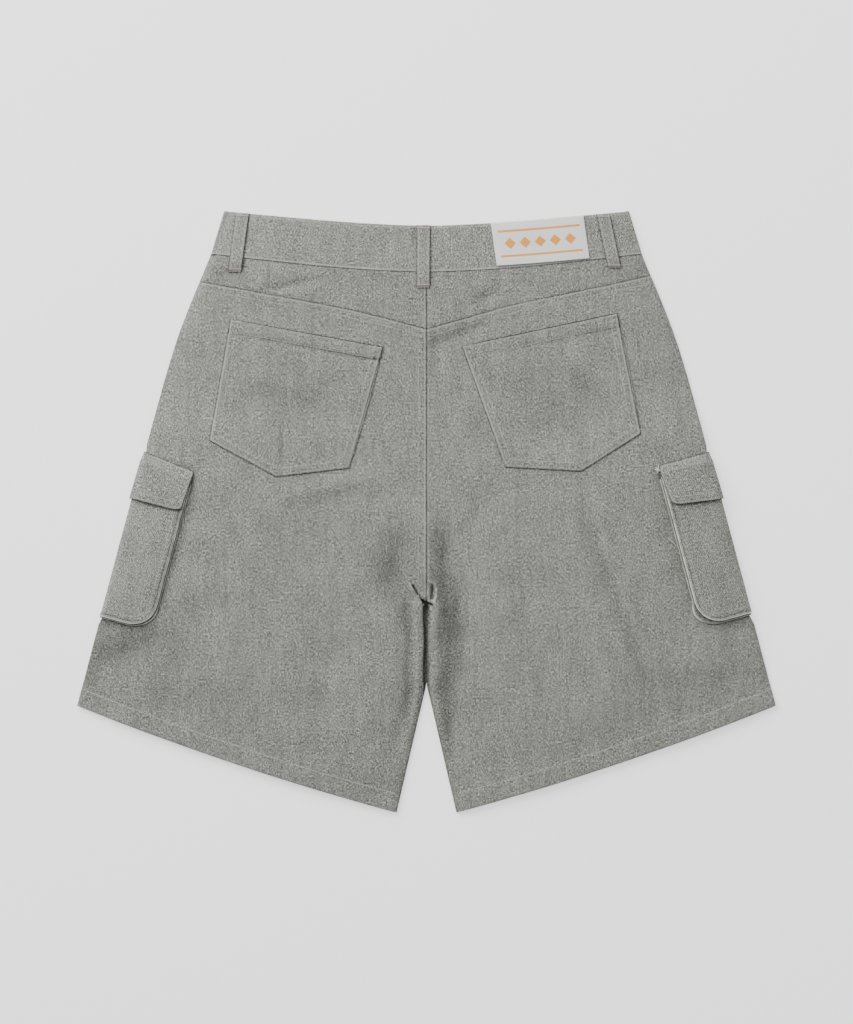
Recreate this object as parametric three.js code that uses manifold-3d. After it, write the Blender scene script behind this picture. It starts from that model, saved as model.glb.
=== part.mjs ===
// Cargo shorts in grey twill, laid flat with the front down and the back up.
// Millimetres. +Z is up, +Y points to the waist, +X to the wearer's right.
// The origin is the middle of the outline, on the surface the shorts lie on.
import * as THREE from 'three';
import Module from 'manifold-3d';

const wasm = await Module();
wasm.setup();

// ---------------------------------------------------------------- driving sizes
const cloth = 1.2;            // one ply of heavy twill
const bandWall = 2.0;         // the waistband's two plies, pressed together
const seam = 0.3;             // clearance left between neighbouring pieces
const puff = 2.6;             // how far the back lies off the front, away from the edges
const sideReach = 90;         // width of the slope from the side edge up to full puff
const inseamReach = 45;       // the same from the inseam
const crotch = -90;           // height of the crotch on the flat garment
const hemSide = -194;         // where the hem meets the side edge
const hemInner = -301;        // where the hem meets the inseam
const hemInnerHalf = 30;      // half the spread of the two legs at the hem
const hemBow = 5.2;           // how far the hem bows out of a straight line
const slotHalf = 2.8;         // half the narrow gap between the legs
const slotEnd = -175;         // below this the gap opens into a wedge
const bandTopHalf = 203;      // half the width of the waist's top edge
const bandSeamHalf = 216;     // half the width of the waistband seam
const pocketFront = 110;      // cargo pocket's reach under the front
const cornerRadius = 25;      // cargo pocket's lower corners
const mouth = 12;             // the pocket's mouth lies this far below the flap's seam
const gussetFold = 12;        // the bellows' tuck under the pocket face

// Side edge of the garment, waist to hem: half-width at each height.
const sideEdge = [
  { y: 301, half: 200 },
  { y: 283, half: 208 },
  { y: 258, half: 216 },
  { y: 222, half: 231 },
  { y: 177, half: 248.5 },
  { y: 132, half: 262.5 },
  { y: 72, half: 278.5 },
  { y: -194, half: 350 },
];

// The yoke's V seam, from the centre back out to the side.
const yokeSeam = [
  { x: 0, left: 183, right: 183 },
  { x: 34, left: 192, right: 192.5 },
  { x: 80, left: 203.2, right: 205.7 },
  { x: 142, left: 215, right: 219 },
  { x: 190, left: 224, right: 229.2 },
  { x: 230, left: 231.5, right: 238.5 },
];

// Weft lines that the leg panels are laid out on: height at the inner edge and at the side.
const weftLines = [
  { inner: 150, side: 205 },
  { inner: 122, side: 178 },
  { inner: 98, side: 155 },
  { inner: 74, side: 132 },
  { inner: 51, side: 109 },
  { inner: 29, side: 87 },
  { inner: 8, side: 66 },
  { inner: -10, side: 52 },
  { inner: -36, side: 28 },
  { inner: -63, side: 2 },
  { inner: -90, side: -24 },
  { inner: -118, side: -50 },
  { inner: -148, side: -76 },
  { inner: -178, side: -100 },
  { inner: -196, side: -112 },
  { inner: -246, side: -150 },
];
const warpLines = [0, 0.06, 0.14, 0.23, 0.32, 0.41, 0.5, 0.59, 0.68, 0.77, 0.86, 0.93, 1];

// The largest creases of the back: soft troughs (rise below 0) and ridges along a line.
const creases = [
  { name: 'right inner leg valley', fromX: 26, fromY: -30, toX: 27, toY: -170, spread: 17, rise: -1.7 },
  { name: 'left crotch hollow', fromX: -40, fromY: -45, toX: -42, toY: -75, spread: 22, rise: -1.5 },
  { name: 'left inner leg valley', fromX: -24, fromY: -120, toX: -30, toY: -220, spread: 15, rise: -1.0 },
  { name: 'right leg long trough', fromX: 170, fromY: -40, toX: 228, toY: -190, spread: 17, rise: -1.3 },
  { name: 'right leg ridge', fromX: 205, fromY: -60, toX: 255, toY: -170, spread: 18, rise: 0.7 },
  { name: 'left leg trough', fromX: -205, fromY: -130, toX: -175, toY: -215, spread: 20, rise: -0.9 },
];

// Cargo pockets, measured from the flap's seam at the side edge: down the side edge, and in from it.
const cargoPockets = [
  { side: 'left', width: 49, length: 170, flapDrop: 6, flapEnd: 48, flapWidth: 50, flapCut: 0, bellows: 3 },
  { side: 'right', width: 49, length: 166.5, flapDrop: 0, flapEnd: 42, flapWidth: 50, flapCut: 4, bellows: 8 },
];
const flapLength = 48.4;
const flapFlare = 1.6;        // how far the flap's lower edge stands off the pocket face
const pocketSwell = 1.6;      // how far the pocket face swells over the seat side of the leg

// Patch pockets on the seat: the five corners.
const seatPockets = [
  { side: 'left', corner: 'topOuter', x: -196, y: 193 },
  { side: 'left', corner: 'topInner', x: -43.5, y: 165 },
  { side: 'left', corner: 'lowInner', x: -77.6, y: 43.8 },
  { side: 'left', corner: 'point', x: -150, y: 35.2 },
  { side: 'left', corner: 'lowOuter', x: -217, y: 71.4 },
  { side: 'right', corner: 'topOuter', x: 190.4, y: 198.8 },
  { side: 'right', corner: 'topInner', x: 35.3, y: 166 },
  { side: 'right', corner: 'lowInner', x: 78.4, y: 45 },
  { side: 'right', corner: 'point', x: 154.3, y: 40.6 },
  { side: 'right', corner: 'lowOuter', x: 213.9, y: 78.3 },
];

// Belt loops: the middle of the top and of the bottom end.
const loopWidth = 13.6;
const backLoops = [
  { name: 'belt_loop_back_centre', topX: -3, topY: 286.2, endX: -3.4, endY: 223.7 },
  { name: 'belt_loop_back_left', topX: -184, topY: 298.6, endX: -192, endY: 240 },
  { name: 'belt_loop_back_right', topX: 176.5, topY: 297.6, endX: 187.8, endY: 244 },
];
const frontLoopX = 105;
const frontLoopLength = 60;

const patchCorners = { left: 64.4, right: 156.8, slant: 6, height: 43 };
const buttonRadius = 8.5;
const buttonCap = 1.6;
const shankRadius = 1.8;
const lapHalf = 22;           // the waistband's ends lap this far past the centre front
const zipTop = 193;
const zipEnd = 60;
const zipHalf = 13;

// ---------------------------------------------------------------- small helpers
const signOf = { left: -1, right: 1 };
const mix = (a, b, t) => a + (b - a) * t;
const clamp = (t) => Math.min(1, Math.max(0, t));
const soft = (t) => clamp(t) * clamp(t) * (3 - 2 * clamp(t));
const quarterSine = (t) => Math.sin(clamp(t) * Math.PI / 2);

/** Column `out` of a table at the place `at` in its sorted column `key`, run on past the ends. */
function read(table, key, at, out) {
  const rising = table[1][key] > table[0][key];
  let row = 1;
  while (row < table.length - 1 && (rising ? table[row][key] < at : table[row][key] > at)) {
    row += 1;
  }
  const a = table[row - 1];
  const b = table[row];
  return mix(a[out], b[out], (at - a[key]) / (b[key] - a[key]));
}

/** How far a point is from the segment of a crease. */
function creaseDistance(crease, x, y) {
  const alongX = crease.toX - crease.fromX;
  const alongY = crease.toY - crease.fromY;
  const reach = (x - crease.fromX) * alongX + (y - crease.fromY) * alongY;
  const t = clamp(reach / (alongX * alongX + alongY * alongY));
  return Math.hypot(x - crease.fromX - alongX * t, y - crease.fromY - alongY * t);
}

// ---------------------------------------------------------------- outline
// The side seam is straight past the cargo pocket: its line, and the way in from it.
const sideSlope = (350 - 278.5) / (72 + 194);
const flapSeamY = 60;
const flapSeamHalf = 278.5 + (72 - flapSeamY) * sideSlope;
const along = new THREE.Vector2(sideSlope, -1).normalize();
const inward = new THREE.Vector2(along.y, -along.x);

/** A place on a leg as the distance down the side edge from the flap's seam, and in from the edge. */
function pocketPlace(x, y) {
  const offset = new THREE.Vector2(Math.abs(x) - flapSeamHalf, y - flapSeamY);
  return { down: offset.dot(along), across: offset.dot(inward) };
}

/** The side seam is drawn in where the cargo pocket wraps it. */
const seamInset = [
  { y: 90, inset: 0 },
  { y: 66, inset: 0 },
  { y: 52, inset: 3.4 },
  { y: -100, inset: 3.4 },
  { y: -112, inset: 0 },
  { y: -194, inset: 0 },
];
const insetAt = (y) => (y > 66 || y < -112 ? 0 : read(seamInset, 'y', y, 'inset'));
const sideHalf = (y) => read(sideEdge, 'y', y, 'half');

/** Half the gap between the legs at a height, or the centre seam's clearance above the crotch. */
function innerHalf(y) {
  if (y > crotch + 1) {
    return seam / 2;
  }
  const opening = clamp((slotEnd - y) / (slotEnd - hemInner));
  return slotHalf + (hemInnerHalf - slotHalf) * Math.pow(opening, 1.15);
}

const bandTopY = (part) => 286 + 15 * Math.pow(Math.abs(part), 1.5);
const bandSeamY = (part) => 239.6 + 18.4 * Math.pow(Math.abs(part), 1.6);
const frontTopY = (part) => 255 + 46 * part * part;
const frontSeamY = (part) => 209 + 49 * part * part;

// ---------------------------------------------------------------- heights of the layers
const flapStack = cloth + seam + cloth + seam + cloth + seam;   // bellows, face and flap
const pocketStack = cloth + seam + cloth + seam;                // bellows and face
const plateau = 14;           // the lift stays level this far past what it clears
const ramp = 60;              // and then falls over this width

/** How far the cargo pocket's front half lifts the leg off the floor. */
function cargoLift(x, y) {
  const { down, across } = pocketPlace(x, y);
  const level = mix(flapStack, pocketStack, clamp((down - 50) / 120));
  const before = soft((down + plateau + ramp) / ramp);
  const after = soft((170 + plateau + ramp - down) / ramp);
  const inner = soft((pocketFront + plateau + ramp - across) / ramp);
  return level * before * after * inner;
}

/** A flat-topped rise: level to `flat` from the middle, gone at `foot`. */
const tent = (distance, flat, foot) => clamp((foot - Math.abs(distance)) / (foot - flat));

/** How far the front's button and belt loops lift the front off the floor. */
function trimLift(x, y) {
  const button = (buttonCap + seam) * tent(x, 30, 75) * clamp((y - 150) / 59);
  const loopEnd = 232 - frontLoopLength;
  const loops = (cloth + seam) * tent(Math.abs(x) - frontLoopX, 32, 62) * clamp((y - loopEnd + 60) / 40);
  return Math.max(button, loops);
}

const frontUnder = (x, y) => cargoLift(x, y) + trimLift(x, y);

/** Underside of the back, over the front. */
function backUnder(x, y) {
  const fromSide = sideHalf(y) - Math.abs(x);
  const fromInseam = y < crotch ? Math.abs(x) - innerHalf(y) : Math.hypot(x, y - crotch);
  const hemPlace = mix(hemInner, hemSide, (Math.abs(x) - hemInnerHalf) / (350 - hemInnerHalf));
  const nearHem = mix(0.45, 1, soft((y - hemPlace) / 80));
  const swell = puff * quarterSine(fromSide / sideReach) * quarterSine(fromInseam / inseamReach);
  const waistSide = 1.9 * clamp((y - 165) / 85) * clamp(fromSide / 7);
  const closure = 2.4 * Math.exp(-Math.pow(x / 72, 2) - Math.pow((y - 236) / 62, 2));
  let fold = 0;
  for (const crease of creases) {
    fold += crease.rise * Math.exp(-Math.pow(creaseDistance(crease, x, y) / crease.spread, 2));
  }
  const loose = Math.max(0, swell * nearHem + fold * quarterSine(Math.min(fromSide, fromInseam) / 20));
  return cloth + seam + cargoLift(x, y) + loose + waistSide + closure;
}
const backTop = (x, y) => backUnder(x, y) + cloth;

// ---------------------------------------------------------------- walls of cloth
/** Puts the faces of a closed mesh the right way out. */
function facedOut(positions, triangles) {
  let volume = 0;
  for (let i = 0; i < triangles.length; i += 3) {
    const [a, b, c] = [0, 1, 2].map((k) => new THREE.Vector3().fromArray(positions, 3 * triangles[i + k]));
    volume += a.dot(b.cross(c));
  }
  const geometry = new THREE.BufferGeometry();
  geometry.setAttribute('position', new THREE.Float32BufferAttribute(positions, 3));
  geometry.setIndex(volume > 0 ? triangles : triangles.reverse());
  return geometry;
}

/** Closed wall between two faces, each given as place(column, row) -> [x, y, z]. */
function clothWall(columns, rows, outer, inner) {
  const positions = [];
  for (const face of [outer, inner]) {
    for (let row = 0; row < rows; row += 1) {
      for (let column = 0; column < columns; column += 1) {
        positions.push(...face(column, row));
      }
    }
  }
  const at = (face, column, row) => face * columns * rows + row * columns + column;
  const triangles = [];
  const quad = (a, b, c, d) => triangles.push(a, b, c, a, c, d);
  for (let row = 0; row < rows - 1; row += 1) {
    for (let column = 0; column < columns - 1; column += 1) {
      quad(at(0, column, row), at(0, column + 1, row), at(0, column + 1, row + 1), at(0, column, row + 1));
      quad(at(1, column, row), at(1, column, row + 1), at(1, column + 1, row + 1), at(1, column + 1, row));
    }
    const last = columns - 1;
    quad(at(0, 0, row), at(0, 0, row + 1), at(1, 0, row + 1), at(1, 0, row));
    quad(at(0, last, row), at(1, last, row), at(1, last, row + 1), at(0, last, row + 1));
  }
  for (let column = 0; column < columns - 1; column += 1) {
    const last = rows - 1;
    quad(at(0, column, 0), at(1, column, 0), at(1, column + 1, 0), at(0, column + 1, 0));
    quad(at(0, column, last), at(0, column + 1, last), at(1, column + 1, last), at(1, column, last));
  }
  return facedOut(positions, triangles);
}

/** A wall that lies over the floor: plan(column, row) -> [x, y], under(x, y) is its underside. */
function laidWall(columns, rows, plan, under, thickness) {
  const face = (lift) => (column, row) => {
    const [x, y] = plan(column, row);
    return [x, y, under(x, y) + lift];
  };
  return clothWall(columns, rows, face(thickness), face(0));
}

// ---------------------------------------------------------------- leg panels
const hemLine = { inner: hemInner, side: hemSide };

/** Place on a weft line, from the inner edge (0) to the side edge (1). */
function onWeft(line, part, side, bow, trim) {
  const inner = innerHalf(line.inner) + trim;
  const outer = sideHalf(line.side) - insetAt(line.side) - trim;
  const y = mix(line.inner, line.side, part) - 4 * bow * part * (1 - part);
  return [signOf[side] * mix(inner, outer, part), y];
}

/** Plan of a leg panel whose top edge is topEdge(part) -> [half x, y]. */
function legPlan(side, topEdge, trim) {
  return (column, row) => {
    const part = warpLines[column];
    if (row === 0) {
      const [half, y] = topEdge(part);
      return [signOf[side] * half, y];
    }
    if (row <= weftLines.length) {
      return onWeft(weftLines[row - 1], part, side, 0, trim);
    }
    const [x, y] = onWeft(hemLine, part, side, hemBow, trim);
    return [x, y + trim];
  };
}

/** The yoke seam on one side: half x and height at a part of its width. */
function yokeSeamAt(side, part) {
  const end = read(yokeSeam, 'x', 228, side);
  const half = mix(seam / 2, sideHalf(end), part);
  return [half, read(yokeSeam, 'x', half, side)];
}

function backPanel(side) {
  const topEdge = (part) => {
    const [half, y] = yokeSeamAt(side, part);
    return [half, y - seam / 2];
  };
  return laidWall(warpLines.length, weftLines.length + 2, legPlan(side, topEdge, 0), backUnder, cloth);
}

function frontPanel(side) {
  const topEdge = (part) => [mix(seam / 2, bandSeamHalf - 0.4, part), frontSeamY(part) - seam / 2];
  return laidWall(warpLines.length, weftLines.length + 2, legPlan(side, topEdge, 0.4), frontUnder, cloth);
}

function yoke(side) {
  const rows = 5;
  const plan = (column, row) => {
    const part = warpLines[column];
    const [seamHalf, seamY] = yokeSeamAt(side, part);
    const down = row / (rows - 1);
    const half = mix(mix(seam / 2, bandSeamHalf, part), seamHalf, down);
    const y = mix(bandSeamY(part) - seam / 2, seamY + seam / 2, down);
    return [signOf[side] * half, y];
  };
  return laidWall(warpLines.length, rows, plan, backUnder, cloth);
}

// ---------------------------------------------------------------- waistband
/** The band is one doubled strip: down the front's left half, round the back, and lapped at the front. */
function waistband() {
  const lap = lapHalf / bandSeamHalf;
  const closeBy = [-lap, -0.04, 0.04, lap];
  const outwards = [0.14, 0.2, 0.29, 0.35, 0.42, 0.5, 0.6, 0.7, 0.82, 0.93, 1];
  const backParts = [-1, -0.94, -0.85, -0.72, -0.58, -0.44, -0.3, -0.15, 0];
  const stations = [];
  for (const part of [...closeBy].reverse().concat(outwards.map((p) => -p))) {
    stations.push({ zone: 'front', part, lapped: 0 });
  }
  for (let step = 1; step < 6; step += 1) {
    stations.push({ zone: 'turn', sign: -1, angle: Math.PI - step * Math.PI / 6 });
  }
  for (const part of backParts.concat(backParts.slice(0, -1).reverse().map((p) => -p))) {
    stations.push({ zone: 'back', part });
  }
  for (let step = 1; step < 6; step += 1) {
    stations.push({ zone: 'turn', sign: 1, angle: step * Math.PI / 6 });
  }
  for (const part of [...outwards].reverse().concat([...closeBy].reverse())) {
    stations.push({ zone: 'front', part, lapped: tent(part * bandSeamHalf, lapHalf + 2, lapHalf + 48) });
  }
  const turnOuter = (cloth + seam + 1.9 + bandWall) / 2;
  const rows = 3;
  const place = (outerFace) => (column, row) => {
    const { zone, part, sign, angle, lapped } = stations[column];
    const down = row / (rows - 1);
    const flatHalf = mix(bandTopHalf, bandSeamHalf, down) - turnOuter;
    if (zone === 'turn') {
      const radius = outerFace ? turnOuter : turnOuter - bandWall;
      const y = mix(bandTopY(1), bandSeamY(1), down);
      return [sign * (flatHalf + radius * Math.sin(angle)), y, turnOuter + radius * Math.cos(angle)];
    }
    const x = flatHalf * part;
    if (zone === 'back') {
      const y = mix(bandTopY(part), bandSeamY(part) + seam / 2, down);
      const edge = Math.abs(part) === 1;
      const under = edge ? 2 * turnOuter - bandWall : backUnder(x, y);
      return [x, y, under + (outerFace ? bandWall : 0)];
    }
    const y = mix(frontTopY(part), frontSeamY(part) + seam / 2, down);
    const under = trimLift(x, y) + lapped * (bandWall + seam);
    return [x, y, under + (outerFace ? 0 : bandWall)];
  };
  return clothWall(stations.length, rows, place(true), place(false));
}

/** Turns a closed geometry into a solid for cutting. */
function solid(geometry) {
  const position = geometry.getAttribute('position');
  return new wasm.Manifold(new wasm.Mesh({
    numProp: 3,
    vertProperties: Float32Array.from(position.array),
    triVerts: Uint32Array.from(geometry.index.array),
  }));
}

/** Cuts the buttonhole through the outer end of the band, for the button's shank. */
function withButtonhole(geometry, centreY) {
  const holeLength = 16;
  const holeWidth = 2 * shankRadius + 2 * seam;
  const hole = new THREE.Shape();
  hole.moveTo(-holeLength / 2, -holeWidth / 2);
  hole.lineTo(holeLength / 2, -holeWidth / 2);
  hole.lineTo(holeLength / 2, holeWidth / 2);
  hole.lineTo(-holeLength / 2, holeWidth / 2);
  hole.closePath();
  const depth = bandWall + 2 * seam - 0.1;
  const block = new THREE.ExtrudeGeometry(hole, { depth, bevelEnabled: false });
  block.translate(0, centreY, buttonCap + 0.1);
  const triangles = [];
  const positions = [];
  const seen = new Map();
  const corners = block.getAttribute('position');
  for (let i = 0; i < corners.count; i += 1) {
    const corner = [corners.getX(i), corners.getY(i), corners.getZ(i)];
    const key = corner.map((value) => value.toFixed(4)).join(' ');
    if (!seen.has(key)) {
      seen.set(key, positions.length / 3);
      positions.push(...corner);
    }
    triangles.push(seen.get(key));
  }
  const cut = solid(geometry).subtract(solid(facedOut(positions, triangles))).getMesh();
  return facedOut(Array.from(cut.vertProperties), Array.from(cut.triVerts));
}

// ---------------------------------------------------------------- belt loops and patch
/** Top of what lies under a loop or patch on the back: the band, or the yoke below its seam. */
function waistTop(x, y) {
  const onBand = y > bandSeamY(x / bandSeamHalf) - 1;
  return backUnder(x, y) + (onBand ? bandWall : cloth);
}

function backLoop({ topX, topY, endX, endY }) {
  const rows = 9;
  const bow = 0.7;
  const plan = (column, row) => {
    const down = row / (rows - 1);
    return [mix(topX, endX, down) + (column - 1) * loopWidth / 2, mix(topY, endY, down)];
  };
  const face = (lift) => (column, row) => {
    const [x, y] = plan(column, row);
    const down = row / (rows - 1);
    const bandLevel = backUnder(x, y) + mix(bandWall, cloth, soft((down - 0.86) / 0.14));
    return [x, y, bandLevel + seam + bow * Math.sin(Math.PI * down) + lift];
  };
  return clothWall(3, rows, face(cloth), face(0));
}

function frontLoop(sign) {
  const topY = frontTopY(frontLoopX / bandTopHalf) - 0.6;
  const plan = (column, row) => [
    sign * frontLoopX + (column - 0.5) * loopWidth,
    topY - frontLoopLength * row / 2,
  ];
  return laidWall(2, 3, plan, () => 0, cloth);
}

function patch() {
  const columns = 8;
  const rows = 3;
  const plan = (column, row) => {
    const across = column / (columns - 1);
    const down = row / (rows - 1);
    const x = mix(patchCorners.left, patchCorners.right, across) + patchCorners.slant * down;
    return [x, bandTopY(x / bandTopHalf) - 0.4 - patchCorners.height * down];
  };
  return laidWall(columns, rows, plan, (x, y) => waistTop(x, y) + seam, cloth);
}

// ---------------------------------------------------------------- patch pockets on the seat
function seatPocket(side) {
  const corner = (name) => {
    const row = seatPockets.find((entry) => entry.side === side && entry.corner === name);
    return new THREE.Vector2(row.x, row.y);
  };
  const point = 0.5;
  const columns = 9;
  const rows = 9;
  const stand = 0.45;
  const plan = (column, row) => {
    const across = column / (columns - 1);
    const top = corner('topOuter').lerp(corner('topInner'), across);
    const low = across < point
      ? corner('lowOuter').lerp(corner('point'), across / point)
      : corner('point').lerp(corner('lowInner'), (across - point) / (1 - point));
    const place = top.lerp(low, row / (rows - 1));
    return [place.x, place.y];
  };
  return laidWall(columns, rows, plan, (x, y) => backTop(x, y) + stand, cloth);
}

// ---------------------------------------------------------------- cargo pockets
// A station says where a strip of the pocket lies: on the back, in the turn round the side seam,
// or under the front. `reach` is the distance in from the seam, `angle` the place in the turn.
const legHalf = (cloth + seam + cloth) / 2;
const turnStations = [1, 2, 3, 4, 5].map((step) => ({ zone: 'turn', angle: step * Math.PI / 6 }));

/** Point at `height` off the leg's surface, `down` the side edge, at a station. */
function wrapPoint(side, down, station, height) {
  const y = flapSeamY + along.y * down;
  const inset = insetAt(y);
  const radius = legHalf + height;
  const across = station.zone === 'turn' ? inset - radius * Math.sin(station.angle) : inset + station.reach;
  const x = signOf[side] * (flapSeamHalf + along.x * down + inward.x * across);
  const placeY = y + inward.y * across;
  if (station.zone === 'back') {
    return [x, placeY, backTop(x, placeY) + height];
  }
  if (station.zone === 'under') {
    return [x, placeY, frontUnder(x, placeY) - height];
  }
  return [x, placeY, cargoLift(x, placeY) + legHalf + radius * Math.cos(station.angle)];
}

const onBack = (reach) => ({ zone: 'back', reach });
const under = (reach) => ({ zone: 'under', reach });

/** Where a pocket's lower edge lies at a reach, with its rounded corner. */
function lowEdge(length, width, reach) {
  const intoCorner = Math.max(0, reach - (width - cornerRadius));
  return length - cornerRadius + Math.sqrt(Math.max(0, cornerRadius ** 2 - intoCorner ** 2));
}

function cargoPocket({ side, width, length, flapDrop }) {
  const backReach = [width, width - 2, width - 7, width - 14, width - 24, 12, 0];
  const frontReach = [0, 22, 50, pocketFront - 24, pocketFront - 12, pocketFront - 4, pocketFront];
  const stations = [...backReach.map(onBack), ...turnStations, ...frontReach.map(under)];
  const rows = 9;
  const faceHeight = cloth + 2 * seam;
  const face = (lift) => (column, row) => {
    const station = stations[column];
    const edge = station.zone === 'under' ? pocketFront : width;
    const low = station.zone === 'turn' ? length : lowEdge(length, edge, station.reach);
    const part = row / (rows - 1);
    const top = mouth + (station.zone === 'back' ? flapDrop * station.reach / width : 0);
    const down = mix(top, low, part);
    const swellAcross = station.zone === 'back' ? Math.sin(Math.PI * clamp(station.reach / width)) : 0;
    const swell = pocketSwell * swellAcross * soft((down - flapLength) / 60) * soft((1 - part) / 0.3);
    return wrapPoint(side, down, station, faceHeight + swell + lift);
  };
  return clothWall(stations.length, rows, face(cloth), face(0));
}

function cargoFlap({ side, flapDrop, flapEnd, flapWidth, flapCut }) {
  const backReach = [1, 0.85, 0.6, 0.3, 0];
  const frontReach = [0, 22, 50, 80, pocketFront + 1];
  const stations = [
    ...backReach.map((share) => ({ zone: 'back', share })),
    ...turnStations,
    ...frontReach.map(under),
  ];
  const rowParts = [0, 0.17, 0.45, 0.75, 1];
  const rest = cloth + seam + cloth + 2 * seam;
  const face = (lift) => (column, row) => {
    const entry = stations[column];
    const part = rowParts[row];
    const share = entry.share ?? 0;
    const clipped = flapCut * clamp((share - 0.85) / 0.15);
    const top = flapDrop * share;
    const low = mix(flapLength, flapEnd, share) - clipped;
    const down = mix(top, low, part);
    const reach = (flapWidth - flapCut * part) * share;
    const station = entry.zone === 'back' ? onBack(reach) : entry;
    const stand = seam + (rest - seam) * clamp(part / 0.17);
    const open = entry.zone === 'back' ? 1 : entry.zone === 'turn' ? (1 + Math.cos(entry.angle)) / 2 : 0;
    const flare = flapFlare * open * soft(part);
    return wrapPoint(side, down, station, stand + flare + lift);
  };
  return clothWall(stations.length, rowParts.length, face(cloth), face(0));
}

/** The bellows: a strip from the leg's seam, tucked in under the pocket face all round its edge. */
function cargoGusset({ side, width, length, flapDrop, bellows }) {
  const path = [];
  const cornerSteps = [15, 35, 55, 75].map((degrees) => degrees * Math.PI / 180);
  const turnIn = length - cornerRadius;
  for (const down of [mouth + flapDrop + 2, 50, 90, 120, turnIn]) {
    path.push({ zone: 'back', reach: width, down, outDown: 0, outReach: 1 });
  }
  for (const angle of cornerSteps) {
    const reach = width - cornerRadius + cornerRadius * Math.cos(angle);
    const down = turnIn + cornerRadius * Math.sin(angle);
    path.push({ zone: 'back', reach, down, outDown: Math.sin(angle), outReach: Math.cos(angle) });
  }
  for (const reach of [width - cornerRadius, 12, 0]) {
    path.push({ zone: 'back', reach, down: length, outDown: 1, outReach: 0 });
  }
  for (const { angle } of turnStations) {
    path.push({ zone: 'turn', angle, down: length, outDown: 1, outReach: 0 });
  }
  for (const reach of [0, 22, 50, pocketFront - cornerRadius]) {
    path.push({ zone: 'under', reach, down: length, outDown: 1, outReach: 0 });
  }
  for (const angle of [...cornerSteps].reverse()) {
    const reach = pocketFront - cornerRadius + cornerRadius * Math.cos(angle);
    const down = turnIn + cornerRadius * Math.sin(angle);
    path.push({ zone: 'under', reach, down, outDown: Math.sin(angle), outReach: Math.cos(angle) });
  }
  for (const down of [turnIn, 120, 90, 50, mouth + 2]) {
    path.push({ zone: 'under', reach: pocketFront, down, outDown: 0, outReach: 1 });
  }
  const face = (lift) => (column, row) => {
    const { zone, reach, angle, down, outDown, outReach } = path[column];
    const atCorner = 4 * outDown * outReach * (zone === 'back' ? 0.5 : 0);
    const shows = mix(1, bellows, Math.min(1, atCorner));
    const offset = [-gussetFold, -gussetFold / 2, shows][row];
    const station = { zone, angle, reach: Math.max(0, (reach ?? 0) + outReach * offset) };
    return wrapPoint(side, down + outDown * Math.min(offset, 1.5 + offset / 2), station, seam + lift);
  };
  return clothWall(path.length, 3, face(cloth), face(0));
}

// ---------------------------------------------------------------- fly and button
const flyLevel = cloth + seam;

/** Tape and closed chain, inside the front's centre seam. */
function zip() {
  const plan = (column, row) => [zipHalf * (column - 1), mix(zipTop, zipEnd, row / 3)];
  return laidWall(3, 4, plan, (x, y) => trimLift(0, y) + flyLevel, 1);
}

/** Slider with its pull laid down along the chain, cut from one side profile. */
function zipSlider() {
  const length = 9;
  const bodyHeight = 2.1;
  const pullLength = 20;
  const pullDrop = 0.55;
  const pullRise = 1 + seam;
  const pullThickness = 0.8;
  const profile = new THREE.Shape();
  profile.moveTo(0, 0);
  profile.lineTo(length, 0);
  profile.lineTo(length, bodyHeight);
  profile.lineTo(0, pullRise + pullThickness);
  profile.lineTo(-pullLength, pullRise + pullThickness - pullDrop);
  profile.lineTo(-pullLength, pullRise - pullDrop);
  profile.lineTo(0, pullRise);
  profile.closePath();
  const geometry = new THREE.ExtrudeGeometry(profile, { depth: 6, bevelEnabled: false });
  geometry.rotateX(Math.PI / 2);
  geometry.rotateZ(Math.PI / 2);
  geometry.translate(-3, zipTop + seam, trimLift(0, zipTop) + flyLevel);
  return geometry;
}

function waistButton(centreY) {
  const shankTop = buttonCap + seam + bandWall;
  const profile = [
    new THREE.Vector2(0, 0),
    new THREE.Vector2(buttonRadius - 0.5, 0),
    new THREE.Vector2(buttonRadius, 0.5),
    new THREE.Vector2(buttonRadius, buttonCap - 0.3),
    new THREE.Vector2(buttonRadius - 0.3, buttonCap),
    new THREE.Vector2(shankRadius, buttonCap),
    new THREE.Vector2(shankRadius, shankTop),
    new THREE.Vector2(0, shankTop),
  ];
  const geometry = new THREE.LatheGeometry(profile, 20);
  geometry.rotateX(Math.PI / 2);
  geometry.translate(0, centreY, 0);
  return geometry;
}

// ---------------------------------------------------------------- assembly
const cottonGrey = { color: 0x959690, roughness: 0.95, metalness: 0 };
const pocketGrey = { color: 0x92938d, roughness: 0.95, metalness: 0 };
const bandGrey = { color: 0x9b9b95, roughness: 0.95, metalness: 0 };
const patchWhite = { color: 0xeceae6, roughness: 0.6, metalness: 0 };
const tapeGrey = { color: 0x8a8a86, roughness: 0.9, metalness: 0 };
const metal = { color: 0xb8b8b4, roughness: 0.35, metalness: 1 };

const shorts = new THREE.Group();
shorts.name = 'cargo_shorts';

function add(name, geometry, finish) {
  const mesh = new THREE.Mesh(geometry, new THREE.MeshStandardMaterial(finish));
  mesh.name = name;
  shorts.add(mesh);
}

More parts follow.
